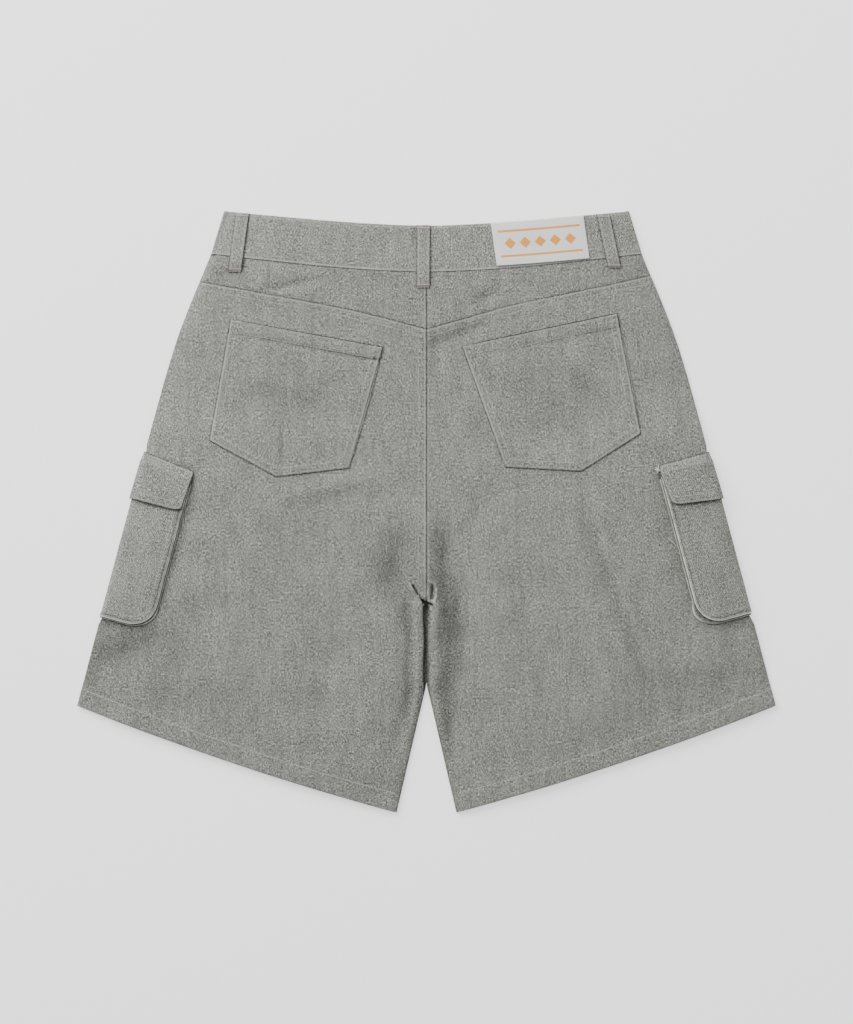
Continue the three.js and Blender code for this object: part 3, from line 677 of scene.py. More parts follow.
def color_mix(tree, factor, first, second, blend="MIX"):
    inputs = {"Factor": factor, "A": first, "B": second}
    return node(tree, "Mix", inputs, data_type="RGBA", blend_type=blend).outputs["Result"]


def finish_with(tree, shader, color, height=None, strength=0.0, distance=0.0):
    """Colour for the shader and, with a height, a bump that is no deeper than the distance."""
    tree.links.new(color, shader.inputs["Base Color"])
    if height is not None:
        bump = node(tree, "Bump", {"Height": height, "Strength": strength, "Distance": distance})
        tree.links.new(bump.outputs["Normal"], shader.inputs["Normal"])


print("finish helpers: node, noise, math_node, ramp, color_mix, finish_with")

# %% [markdown]
# ## Twill
# The cloth is a heavy cotton twill, woven from grey yarn with darker and paler fibres mixed in.
# Seen from arm's length, the diagonal rib of the weave breaks up into fine speckle, so the finish
# is mostly speckle: flecks of two sizes, which take turns in slow patches, then streaks of uneven
# yarn, a faint diagonal rib and here and there a thick length of yarn, a slub. All of it reads the
# `weave` map, so each piece keeps its own grain. The same speckle sets a very small bump.
#
# The colour is then mixed by the wear and painted light of each place. It runs towards a paler
# grey where the cloth is rubbed or painted paler on a ridge, and towards near black where shade is
# painted into a crevice, a fold or a gap. Past 1 it runs towards bare white thread, as on the
# frayed rim of a cargo pocket, and as a painted highlight on the sharpest ridges. Last comes a slow
# drift of tone over the whole garment.

# %% Twill finish
speckle_parts = {"fibre": 0.68, "yarn": 0.20, "rib": 0.05, "slub": 0.07}
speckle_stops = (0.38, 0.486, 0.60)
twill_colors = [(0.072, 0.073, 0.066), (0.194, 0.197, 0.177), (0.550, 0.558, 0.506)]
# paler for rubbed cloth and painted light on ridges, near black for painted shade in crevices, folds and
# gaps, white for bare thread and painted highlights
rubbed_and_lit_color = (0.36, 0.35, 0.33)
painted_shade_color = (0.006, 0.005, 0.004)
bare_thread_and_highlight_color = (0.86, 0.85, 0.82)


def speckle_of(tree, grain):
    """The melange as one number from 0, dark, to 1, pale."""
    coarse = noise(tree, grain, 0.66, (1, 0.8, 1), 2.0, 0.5)
    fine = noise(tree, grain, 1.2, (1, 0.8, 1), 2.0, 0.55)
    patches = math_node(tree, "MULTIPLY_ADD", noise(tree, grain, 0.11), 3.0, -1.0)
    rib = {"Vector": grain, "Scale": 0.24, "Distortion": 3.0, "Detail": 2.0, "Detail Scale": 1.6}
    parts = {
        "fibre": node(tree, "Mix", {"Factor": patches, "A": coarse, "B": fine}).outputs["Result"],
        "yarn": noise(tree, grain, 0.55, (1.8, 0.5, 1)),
        "rib": node(tree, "TexWave", rib, wave_type="BANDS", bands_direction="DIAGONAL").outputs["Fac"],
        "slub": noise(tree, grain, 0.09, (2.4, 0.3, 1)),
    }
    speckle = 0.0
    for name, part in parts.items():
        speckle = math_node(tree, "MULTIPLY_ADD", part, speckle_parts[name], speckle)
    return speckle


def twill_material(name, tone):
    """Grey melange twill. tone scales its brightness."""
    material, tree, shader = new_material(
        name, Roughness=0.92, Sheen_Weight=0.06, Sheen_Roughness=0.6, Specular_IOR_Level=0.1
    )
    grain = node(tree, "UVMap", {}, uv_map="weave").outputs["UV"]
    wear_and_painted_light = node(tree, "Attribute", {}, attribute_name="wear_and_painted_light").outputs["Fac"]
    speckle = speckle_of(tree, grain)
    toned = [np.array(color) * tone for color in twill_colors]
    color = ramp(tree, speckle, list(zip(speckle_stops, toned)))
    # tints by the attribute: paler where rubbed and where ridges are painted lit, near black where shade is
    # painted, bare thread and highlights past one
    wear_and_light_tints = [
        (math_node(tree, "MULTIPLY", wear_and_painted_light, 0.55), tuple(np.array(rubbed_and_lit_color) * tone)),
        (math_node(tree, "MULTIPLY", wear_and_painted_light, -0.93), painted_shade_color),
        (math_node(tree, "SUBTRACT", wear_and_painted_light, 1.0), bare_thread_and_highlight_color),
    ]
    for share, toward in wear_and_light_tints:
        color = color_mix(tree, share, color, (*toward, 1))
    drift = noise(tree, grain, 0.05, (1, 0.8, 1), 4.0, 0.6)
    tones = ramp(tree, drift, [(0.3, (0.90, 0.90, 0.90)), (0.7, (1.10, 1.10, 1.10))])
    color = color_mix(tree, 1, color, tones, "MULTIPLY")
    finish_with(tree, shader, color, speckle, strength=0.35, distance=0.0003)
    return material


twill = twill_material("twill", 1.0)
# a copy made a little lighter for the band and the loops: painted light on the raised band
twill_band_painted_lighter = twill_material("twill_band_painted_lighter", 1.05)
twill_pocket = twill_material("twill_pocket", 0.99)
print("twill finishes:", twill.name, twill_band_painted_lighter.name, twill_pocket.name)

# %% [markdown]
# ## Registering a piece
# `put_in` gives a finished piece its material and tells the frame what it is: it rides on the one
# rigid body, and stands for its CAD node if it has one.


def put_in(obj, material, node_name=None):
    """Give the piece its material, body and slot, and the node that it stands for."""
    obj.data.materials.append(material)
    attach(obj, "root")
    if node_name:
        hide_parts(node_name)
    return obj


def sew_in(obj, node_name, material):
    """Put in a piece of twill."""
    put_in(obj, material, node_name)
    return obj

# %% [markdown]
# ## Relief along the seams
# A seam in heavy cloth is never flat. The turned hem is thicker than the leg and ropes on the
# bias, stitch lines sink into a groove, and the cloth gathers slightly along them. Each of these is
# a small height added to the panel, found from the point's place on the garment, so that the
# stitches sewn later can be laid on exactly the same surface.

# %% Relief of seams and hems
hem_stitch = 17.8
hem_fold = 12.5
hem_lean = 0.95
double_row = (2.2, 8.2)
lapped_row = (2.0, 8.0)


def hem_y(x):
    """The hem line's height across a leg."""
    part = (np.abs(x) - hem_inner_half) / (hem_side_half - hem_inner_half)
    return mix(hem_inner, hem_side, part) - 4 * hem_bow * part * (1 - part)


def groove(off, depth, width=1.0):
    return -depth * bell(off, width)


def pucker(run, off, pitch, reach, rise):
    """Small gathers along a seam: run is the distance along it and off the distance from it."""
    waver = 0.7 + 0.5 * np.sin(run / 37.0 + 1.3)
    waves = np.sin(2 * np.pi * run / pitch + 0.8 * np.sin(run / 19))
    return rise * waver * waves * fading(np.abs(off), reach)


def hem_relief(x, y):
    """A turned hem, roped on the bias. hem_lean turns a height on a slanting hem into a distance."""
    above = (y - hem_y(x)) * hem_lean
    turned = 0.5 * soft((19.5 - above) / 2.2)
    rope = 0.14 * np.sin(2 * np.pi * (np.abs(x) + above * 0.8) / 10.5) * soft((19 - above) / 6)
    stitched = groove(above - hem_stitch, 0.3) + groove(above - hem_fold, 0.1)
    return turned + rope + stitched - 0.5 * fading(np.clip(above, 0, None), 1.2)


def centre_relief(side, x, y):
    """The centre back seam: the left panel is lapped over the right."""
    off = np.abs(x)
    zone = soft((y - crotch) / 10)
    if side == "left":
        near, far = double_row
        edge = 0.35 * fading(off, 3.0) + groove(off - near, 0.3, 0.8) + groove(off - far, 0.12)
    else:
        edge = -0.5 * fading(off, 1.6)
    return zone * (edge + pucker(y, off, 12, 5, 0.15))


def yoke_relief(side, x, y):
    """The yoke seam: the leg's top edge is lapped over the yoke and double stitched."""
    off = yoke_line[side](np.abs(x)) - y
    near, far = lapped_row
    below = 0.55 * fading(np.abs(off - 4), 5) + groove(off - near, 0.25, 0.8) + groove(off - far, 0.16)
    above = -0.3 * fading(np.abs(off), 3.0)
    return np.where(off > 0, below, above) + pucker(np.abs(x) * 1.04, off, 13, 6, 0.22)


def leg_surface(side, x, y):
    """Outer face of the back leg, with all its seams."""
    relief = hem_relief(x, y) + centre_relief(side, x, y) + yoke_relief(side, x, y)
    return back_top(x, y) + relief


print("the hem is stitched", hem_stitch, "mm up")

# %% [markdown]
# ## Leg panels
# Four panels make the body of the shorts: two backs and two fronts. Each is laid out between its
# inner edge and the side edge, and between its top seam and the hem. The rows of the grid crowd
# together at the hem's fold and stitching, where the relief is finest.

# %% Leg panels
side_inset = 3.4
leg_top, leg_width = 183, 300


def inset_at(y):
    """The side seam is drawn in where the cargo pocket wraps it."""
    return side_inset * np.clip((66 - y) / 14, 0, 1) * np.clip((y + 112) / 12, 0, 1)


def leg_rows(step):
    """Shares of the leg's length, closer together at the hem's turning and at the crotch."""
    length = leg_top - hem_inner
    rows = spaced(length, step, (0, 0.7, 1.6, 2.8, 4.5, 7, 9))
    turn = length - np.array([21.5, 20.2, 19.2, 18.4, 17.7, 16.8, 14.5, 13.1, 12.3, 11])
    rows = np.concatenate([rows[rows < length - 23], turn, rows[rows > length - 9.5]])
    at_crotch = leg_top - np.arange(crotch - 8, crotch + 26, step / 2.8)
    others = rows[(rows < at_crotch.min() - 1) | (rows > at_crotch.max() + 1)]
    return np.unique(np.concatenate([others, at_crotch])) / length


def leg_columns(step):
    """Shares of the leg's width, closer together beside the inner edge."""
    columns = spaced(leg_width, step)
    close, closer = np.arange(18.5, 34, step / 2), np.arange(0, 18, step / 3)
    return np.concatenate([closer, close, columns[columns > 35]]) / leg_width


def leg_plan(side, top_edge, step, inner_line, trim=0.0):
    """Plan of a leg panel. top_edge(part) gives its top seam's half width and height."""
    part, v = np.meshgrid(leg_columns(step), leg_rows(step))
    _, top_y = top_edge(part)
    inner_top, side_top = top_edge(0.0)[1], top_edge(1.0)[1]
    bend = (top_y - mix(inner_top, side_top, part)) * (1 - soft(v / 0.3))
    bow = 4 * hem_bow * part * (1 - part) * soft((v - 0.4) / 0.6)
    inner_y = mix(inner_top, hem_inner, v)
    side_y = mix(side_top, hem_side, v)
    inner = inner_line(inner_y) + trim
    outer = side_half(side_y) - inset_at(side_y) - trim
    return sign_of[side] * mix(inner, outer, part), mix(inner_y, side_y, part) + bend - bow + trim * v


print("rows and columns of a back leg:", len(leg_rows(2.5)), len(leg_columns(2.5)))

# %% [markdown]
# The back legs carry the most wear and painted shade. They are rubbed pale along the seams and the
# hem, with shade painted dark down the inner edge, in the seams' crevices, in the creases and
# beside the cargo pocket. The fronts come first, because the backs lie on them.

# %% Back and front legs
def yoke_edge(side, lift):
    """The yoke seam as a top or bottom edge, moved up or down by its clearance."""
    def edge(part):
        half = mix(half_gap, side_half(yoke_line[side](228.0)), part)
        return half, yoke_line[side](half) + lift
    return edge


def shade_beside_cargo(side, x, y):
    """Painted shade and shadow on the leg along the cargo pocket's edge, broad below the left one."""
    pocket = cargo_pockets[side]
    down, across = pocket_place(x, y)
    off = np.clip(outside_cargo(pocket, across, down), 0, None)
    if side == "left":
        beside = 0.55 * fading(off, 2.2) + 0.12 * bell(off, 11)
        beside += 0.34 * fading(off, 5) * soft((down - 70) / 70)
    else:
        beside = 0.90 * fading(off, 3.0) + 0.10 * bell(off, 9)
        beside += 0.22 * fading(off, 6) * soft((100 - down) / 50)
    return -beside * soft((down + 2) / 10)


def back_inner_half(side, y):
    """The back's inner edge. The right leg has slid a little over the gap, near its top."""
    slid = 1.1 * soft((y + 188) / 30) if side == "right" else 0
    return np.maximum(inner_half(y) - slid, half_gap)


def back_leg(side):
    x, y = leg_plan(side, yoke_edge(side, -half_gap), 2.5, lambda at: back_inner_half(side, at))
    points = points_of(x, y, leg_surface(side, x, y))
    # painted shade in the seams' crevices and down the inner edge, pale wear at the hem, painted shade
    # beside the cargo pocket and in the creases
    seam_wear_and_shade = edge_wear_and_shade(yoke_line[side](np.abs(x)) - half_gap - y) + 0.7 * edge_wear_and_shade(np.abs(x)) * (y > crotch)
    hem_wear = 0.5 * fading(np.abs(y - hem_y(x)), 1.3)
    inseam_shade = -0.5 * fading(np.abs(x) - back_inner_half(side, y), 1.2) * (y < crotch)
    wear_and_painted_light = seam_wear_and_shade + hem_wear + inseam_shade + shade_beside_cargo(side, x, y) + crease_wear_and_painted_light(x, y)
    piece = cloth_piece(f"back_leg_{side}", points, cloth, points_of(x, y), wear_and_painted_light, 1)
    return sew_in(piece, f"back_{side}", twill)


def front_leg(side):
    def top_edge(part):
        return mix(half_gap, band_seam_half - 0.4, part), front_seam_y(part) - half_gap

    x, y = leg_plan(side, top_edge, 6, front_inner_half, 0.1)
    points = points_of(x, y, front_under(x, y))
    # the front is painted near black behind the gap between the back legs, as the shade down in the gap; its
    # hem is rubbed pale
    shade_behind_gap = soft((13 - np.abs(x)) / 6) * (y > slot_end - 2) * soft((crotch + 14 - y) / 8)
    wear_and_painted_light = 0.6 * fading(np.abs(y - hem_y(x)), 1.5) - 1.3 * shade_behind_gap
    piece = cloth_piece(f"front_leg_{side}", points, cloth, points_of(x, y), wear_and_painted_light, -1)
    return sew_in(piece, f"front_{side}", twill)


for side in sign_of:
    front_leg(side)
for side in sign_of:
    back_leg(side)

# %% [markdown]
# ## Yoke
# The yoke is a shallow V cut across the seat. It is what shapes the back without darts. The legs'
# top edges are lapped over it and double stitched, so the seam shows as a dark line with a soft
# ridge below it.

# %% Yoke
def yoke_surface(side, x, y):
    """Outer face of the yoke, which dips a little under the band."""
    near_band = band_seam_y(x / band_seam_half) - y
    dip = -0.15 * fading(np.clip(near_band, 0, None), 2.5) + pucker(x, near_band, 15, 7, 0.2)
    return back_top(x, y) + yoke_relief(side, x, y) + centre_relief(side, x, y) + dip


def yoke(side):
    part, v = np.meshgrid(spaced(225, 2.5) / 225, spaced(45, 1.6) / 45)
    seam_half, seam_y = yoke_edge(side, half_gap)(part)
    half = mix(mix(half_gap, band_seam_half, part), seam_half, v)
    y = mix(band_seam_y(part) - half_gap, seam_y, v)
    x = sign_of[side] * half
    points = points_of(x, y, yoke_surface(side, x, y))
    near_band = band_seam_y(x / band_seam_half) - y
    # painted shade along the yoke seam and under the band, with the edges' wear and the creases' painted
    # tone
    wear_and_painted_light = -0.25 * fading(np.abs(y - seam_y), 0.9) - 0.1 * fading(np.clip(near_band, 0, None), 0.8)
    wear_and_painted_light = wear_and_painted_light + 0.7 * edge_wear_and_shade(np.abs(x)) + crease_wear_and_painted_light(x, y)
    piece = cloth_piece(f"yoke_{side}", points, cloth, points_of(x, y), wear_and_painted_light, 1)
    return sew_in(piece, f"yoke_{side}", twill)


for side in sign_of:
    yoke(side)

# %% [markdown]
# ## Waistband
# The waistband is one long doubled strip. It starts at the centre front, turns round the left
# side, crosses the back, turns round the right side and ends lapped over its own start, where the
# button holds it. Two pressed plies make it stiffer and thicker than the rest. The band and the
# belt loops are made a little paler, with painted light.

# %% Waistband
lap_half = 22
band_height = 46
band_top_row = 2.4
turn_outer = (cloth + gap + 1.9 + band_wall) / 2


def band_relief(x, down, height):
    """Edge stitching and slow ripples along the band."""
    from_top, from_seam = down * height, (1 - down) * height
    rolled = -0.9 * fading(from_top, 0.9) - 0.35 * fading(from_seam, 1.3)
    stitched = groove(from_top - band_top_row, 0.25, 0.8) + groove(from_seam - 2.0, 0.25, 0.8)
    ripple = 0.16 * np.sin(x / 23 + 2 * down) + 0.12 * np.sin(x / 9.7 - 3 * down + 1)
    gathers = pucker(x, from_seam, 14, 7, 0.14) + pucker(x + 5, from_top, 17, 6, 0.1)
    return rolled + stitched + (ripple + gathers) * soft(from_top / 3) * soft(from_seam / 2)


def band_surface(x, y):
    """Outer face of the band's back half."""
    part = x / band_seam_half
    height = band_top_y(part) - band_seam_y(part)
    down = np.clip((band_top_y(part) - y) / height, 0, 1)
    return back_under(x, y) + band_wall + band_relief(x, down, height)


print("radius of the band's turn:", round(turn_outer, 2), "mm")

# %% [markdown]
# The band's columns are walked in order, from the end that lies under the button to the end that
# is lapped over it, and each zone has its own rule for where a column lies. The lapped end is
# lifted by one thickness, then comes down to the table within a few centimetres.

# %% Waistband, all round
def on_lap(x):
    """1 where the lapped end lies on the other, falling to 0 where it is back on the table."""
    return tent(x, lap_half + 2, lap_half + 48)


def band_stations():
    """Columns round the band, from its lower end at the front to its lapped end: zone, place, lift."""
    ends = np.linspace(1, -1, 6) * lap_half / band_seam_half
    front = np.linspace(0.14, 1, 40)
    turn = np.linspace(0, np.pi, 14)[1:-1]
    back = spaced(400, 2.6) / 200 - 1
    stations = [("front", part, 0) for part in np.concatenate([ends, -front])]
    stations += [("turn left", angle, 0) for angle in turn[::-1]]
    stations += [("back", part, 0) for part in back]
    stations += [("turn right", angle, 0) for angle in turn]
    over = np.concatenate([front[::-1], ends])
    return stations + [("front", part, on_lap(part * band_seam_half)) for part in over]


def band_column(zone, place, lapped, down):
    """Points down the outer face in one column: on the back, in a turn at the side, or in front."""
    flat_half = mix(band_top_half, band_seam_half, down) - turn_outer
    if zone.startswith("turn"):
        x = sign_of[zone.split()[1]] * (flat_half + turn_outer * np.sin(place))
        y = mix(band_top_y(1), band_seam_y(1), down)
        return points_of(x, y, turn_outer * (1 + np.cos(place)) * np.ones_like(down))
    x = flat_half * place
    if zone == "back":
        y = mix(band_top_y(place), band_seam_y(place) + half_gap, down)
        level = back_under(x, y) + band_wall + band_relief(x, down, band_height)
        at_turn = fading((1 - abs(place)) * 200, 2)
        return points_of(x, y, mix(level, 2 * turn_outer, at_turn))
    y = mix(front_top_y(place), front_seam_y(place) + half_gap, down)
    return points_of(x, y, trim_lift(x, y) + lapped * (band_wall + gap))


def band_wear_and_shade(from_top, x, z):
    """Pale at the top edge, a pale line above the seam as rubbed thread and a painted highlight, painted
    shade at the seam, and a painted shadow beside the middle loop.
    """
    from_seam = band_height - from_top
    wear_and_painted_light = 0.5 * fading(from_top, 1.3) + 1.35 * bell(from_seam - 1.2, 1.0) - 0.4 * bell(from_seam, 0.5)
    shadow_beside_loop = bell(x + 12.2, 1.7) * soft((27 - from_top) / 18)
    return wear_and_painted_light - 0.6 * shadow_beside_loop * (z > 4)


def waistband():
    down = spaced(band_height, 2.2) / band_height
    points = np.stack([band_column(*station, down) for station in band_stations()], axis=1)
    along = distance_along(points[0])
    weave = points_of(*np.meshgrid(along, down * band_height))
    wear_and_painted_light = band_wear_and_shade(weave[..., 1], points[..., 0], points[..., 2])
    piece = cloth_piece("waistband", points, band_wall, weave, wear_and_painted_light, -1)
    return sew_in(piece, "waistband", twill_band_painted_lighter)


waistband()

# %% [markdown]
# ## Belt loops
# A belt loop is a narrow strip folded in three and pressed. It arches a little over the band and
# is pinned down by a bar tack at each end, the lower one below the band's seam.

# %% Belt loops
loop_width = 13.6
loop_length = 62
front_loop_top = front_top_y(front_loop_x / band_top_half) - 0.6
loop_places = [
    {"name": "belt_loop_back_centre", "x0": -3, "y0": 286.2, "x1": -3.4, "y1": 223.7},
    {"name": "belt_loop_back_left", "x0": -184, "y0": 298.6, "x1": -192, "y1": 240},
    {"name": "belt_loop_back_right", "x0": 176.5, "y0": 297.6, "x1": 187.8, "y1": 244},
]


def loop_surface(loop, off, down):
    """Outer face of a back loop: off is the distance from its middle line, down from 0 to 1."""
    x = mix(loop["x0"], loop["x1"], down) + off
    y = mix(loop["y0"], loop["y1"], down)
    level = back_under(x, y) + mix(band_wall, cloth, soft((down - 0.86) / 0.14))
    bow = 0.7 * np.sin(np.pi * down) + 0.12 * np.sin(9 * down + loop["x0"])
    edge = loop_width / 2 - np.abs(off)
    folded = -0.45 * fading(edge, 0.7) + groove(edge - 2.2, 0.22, 0.7)
    tacked = -0.25 * fading(np.minimum(down, 1 - down) * loop_length, 2.5)
    return points_of(x, y, level + gap + bow + cloth + folded + tacked)


def back_loop(loop):
    columns = spaced(loop_width, 1.0, (0, 0.35, 0.9, 1.6)) - loop_width / 2
    off, down = np.meshgrid(columns, spaced(loop_length, 1.6) / loop_length)
    points = loop_surface(loop, off, down)
    weave = points_of(off, down * loop_length)
    wear_and_painted_light = edge_wear_and_shade(loop_width / 2 - np.abs(off))
    piece = cloth_piece(loop["name"].replace("belt_", ""), points, cloth, weave, wear_and_painted_light, 1)
    return sew_in(piece, loop["name"], twill_band_painted_lighter)


def front_loop(side):
    off, down = np.meshgrid(spaced(loop_width, 1.5, (0, 0.5, 1.3)), spaced(60, 3))
    x = sign_of[side] * front_loop_x + off - loop_width / 2
    y = front_loop_top - down
    edge = np.minimum(off, loop_width - off)
    points = points_of(x, y, 0.3 * fading(edge, 0.8))
    piece = cloth_piece(f"loop_front_{side}", points, 1.0, points_of(off, down), 0 * x, -1)
    return sew_in(piece, f"belt_loop_front_{side}", twill_band_painted_lighter)


for loop in loop_places:
    back_loop(loop)
for side in sign_of:
    front_loop(side)

# %% [markdown]
# ## Seat pockets
# Each seat pocket is one patch with five corners: a hemmed mouth at the top, two long sides and a
# shallow point below. Its edges are turned under and double stitched, so the border is a little
# thicker than the middle, which keeps the hollows of the leg below.

# %% Seat pockets
seat_pockets = {
    "left": [(-196, 193), (-43.5, 165), (-77.6, 43.8), (-150, 35.2), (-217, 71.4)],
    "right": [(190.4, 198.8), (35.3, 166), (78.4, 45), (154.3, 40.6), (213.9, 78.3)],
}
pocket_stand = 0.35
mouth_hem = 12.6
pocket_stitch_rows = (1.9, 8.0)
pocket_steps = (0, 0.6, 1.3, 2, 2.8, 4.5, 6.5, 8, 9.5)


def edge_distance(x, y, a, b):
    """Distance from the line through two corners."""
    along = direction(a, b)
    return np.abs((x - a[0]) * along[1] - (y - a[1]) * along[0])


def seat_distances(side, x, y):
    """Distance from the pocket's mouth, and from the nearest of its other edges."""
    corners = seat_pockets[side]
    top = edge_distance(x, y, corners[0], corners[1])
    rest = [edge_distance(x, y, corners[i], corners[(i + 1) % 5]) for i in range(1, 5)]
    return top, np.minimum.reduce(rest)


def seat_surface(side, x, y):
    """Outer face of a seat pocket: border, stitch lines, hemmed mouth, gathers and a slight sag."""
    top, rest = seat_distances(side, x, y)
    border = 0.3 * soft((9.5 - rest) / 2) - 0.7 * fading(np.minimum(rest, top), 1.4)
    border += sum(groove(rest - off, 0.28, 0.8) for off in pocket_stitch_rows)
    mouth = 0.3 * soft((mouth_hem + 0.6 - top) / 1.6) + groove(top - mouth_hem, 0.3, 0.8)
    gathers = pucker(x + y, rest, 12, 8, 0.17) + pucker(x, top - mouth_hem, 11, 7, 0.14)
    sag = 0.5 * fading(top, 16) * np.sin(np.pi * np.clip((np.abs(x) - 40) / 150, 0, 1))
    return back_top(x, y) + pocket_stand + cloth + border + mouth + gathers + sag


for name, corners in seat_pockets.items():
    print(name, "seat pocket's mouth:", round(float(np.hypot(*np.subtract(*corners[:2])))), "mm")

# %% [markdown]
# The pocket is laid out as a grid between its mouth and the two lower edges that meet in a point.
# Its mouth and the line of its hem are painted with shade, more to the right, where they gape.

# %% Seat pocket pieces
def seat_plan(side):
    """Plan of the pocket between its mouth and its two lower edges. The long sides bow out a little."""
    top_outer, top_inner, low_inner, point, low_outer = [np.array(c, float) for c in seat_pockets[side]]
    columns = np.unique(np.append(spaced(150, 2.3, pocket_steps) / 150, 0.5))
    rows = spaced(130, 2.3, pocket_steps + (11.5, mouth_hem, 13.8)) / 130
    across, down = np.meshgrid(columns, rows)
    top = mix(top_outer, top_inner, across[..., None])
    outer_low = mix(low_outer, point, np.clip(across / 0.5, 0, 1)[..., None])
    inner_low = mix(point, low_inner, np.clip(across / 0.5 - 1, 0, 1)[..., None])
    low = np.where(across[..., None] < 0.5, outer_low, inner_low)
    place = mix(top, low, down[..., None])
    bowed = 1.3 * np.sin(np.pi * down) * np.cos(np.pi * across)
    return place[..., 0] + sign_of[side] * bowed, place[..., 1]


def seat_wear_and_shade(side, x, y):
    """Painted shade at the mouth and its hem, stronger to the right, and in the crevice at each edge, with a
    rubbed pale line down the sides.
    """
    top_off, rest = seat_distances(side, x, y)
    rightward = soft((x - x.min()) / 150)
    hem_shade_depth = {"left": 0.3 + 0.5 * rightward, "right": 0.15 + 0.35 * rightward}[side]
    mouth_shade_depth = {"left": 0.3 + 0.6 * rightward, "right": 0.95 * soft((x - x.min() - 6) / 10)}[side]
    hem_shade = hem_shade_depth * bell(top_off - mouth_hem - 0.8, 1.1)
    mouth_shade = mouth_shade_depth * bell(top_off, 0.8)
    beside = soft((y - y.min() - 14) / 20)
    pale_side = 0.65 * bell(rest - 1.7, 0.7) * beside
    return mix(0.4, 0.85, beside) * edge_wear_and_shade(np.minimum(top_off, rest)) - mouth_shade - hem_shade + pale_side


def seat_pocket(side):
    x, y = seat_plan(side)
    points = points_of(x, y, seat_surface(side, x, y))
    wear_and_painted_light = seat_wear_and_shade(side, x, y) + crease_wear_and_painted_light(x, y)
    piece = cloth_piece(f"seat_pocket_{side}", points, cloth, points_of(x, y), wear_and_painted_light, 1)
    return sew_in(piece, f"back_pocket_{side}", twill_pocket)


for side in sign_of:
    seat_pocket(side)

# %% [markdown]
# ## Cargo pockets
# The cargo pockets straddle the side seams, so on a garment laid flat each one is folded in half
# round the leg: a third is seen here and the rest lies under the front. `wrap` gives any point on
# that fold: on the back, in the turn round the seam, or under the front.

# %% Wrapping round the side seam
leg_half = (cloth + gap + cloth) / 2


def wrap(side, down, zone, place, height):
    """A point at a height off the leg. place is the reach in from the seam, or the turn's angle."""
    y = flap_seam_y + down_y * down
    inset = inset_at(y)
    if zone == "turn":
        across = inset - (leg_half + height) * np.sin(place)
    else:
        across = inset + place
    x = sign_of[side] * (flap_seam_half + down_x * down + in_x * across)
    y = y + in_y * across
    if zone == "back":
        z = back_top(x, y) + height
    elif zone == "under":
        z = front_under(x, y) - height
    else:
        z = cargo_lift(x, y) + leg_half + (leg_half + height) * np.cos(place)
    return points_of(x + 0 * z, y + 0 * z, z)


turn_angles = np.linspace(0, np.pi, 12)[1:-1]


def round_side(on_back, reach_in_front):
    """Columns round the side seam: those on the back, those in the turn, those under the front."""
    stations = [("back", place) for place in on_back]
    stations += [("turn", angle) for angle in turn_angles]
    return stations + [("under", reach) for reach in spaced(reach_in_front, 5)]


print("columns in the turn round the side seam:", len(turn_angles))

# %% [markdown]
# ## The pocket's face
# The face is one piece from its inner edge on the seat side to its other edge in front. Its lower
# corners are rounded. The edges are turned under and double stitched, and the rim of the turned
# edge is worn through to bare thread. A line of shade is painted dark inside the rim, and a
# painted shadow lies under the flap.

# %% Cargo pocket faces
flap_length = 48.4
pocket_swell = 1.6
mouth = 12
face_height = cloth + 2 * gap
face_stitch_rows = (1.9, 7.6)
face_steps = (0, 0.6, 1.3, 2, 3, 5, 7, 8.2)
face_bare = {"left": 1.75, "right": 2.4}


def low_edge(length, width, reach):
    """Where the pocket's lower edge lies at a reach, with its rounded corner."""
    into_corner = np.clip(reach - (width - corner_radius), 0, corner_radius)
    return length - corner_radius + np.sqrt(corner_radius**2 - into_corner**2)


def face_relief(pocket, reach, down):
    """Border, stitching and soft creases of the face on the seat side."""
    from_inner = pocket["width"] - reach
    from_low = low_edge(pocket["length"], pocket["width"], reach) - down
    off = np.minimum(from_inner, from_low)
    swell = pocket_swell * np.sin(np.pi * np.clip(reach / pocket["width"], 0, 1))
    swell = swell * soft((down - flap_length) / 60) * soft(from_low / 50)
    border = 0.25 * soft((9 - off) / 2) - 0.55 * fading(np.clip(off, 0, None), 0.8)
    border += sum(groove(off - row, 0.25, 0.8) for row in face_stitch_rows)
    crease = 0.35 * np.sin(down / 13 + reach / 9) * soft(off / 12)
    return swell + border + crease + pucker(down, off, 12, 7, 0.16)


def cargo_face_wear_and_shade(side, off, down):
    """A bare, uneven rim, a line of painted shade inside it, painted shadow under the flap, and a slightly
    paler face.
    """
    frayed = 0.85 + 0.15 * np.sin(down / 5) + 0.15 * np.sin(down / 1.9)
    bare = face_bare[side] * frayed * bell(off, 1.4)
    below_flap = np.clip(down - flap_length, 0, None)
    return bare - 0.6 * bell(off - 2.9, 0.8) - 0.2 * bell(below_flap, 9) + 0.18


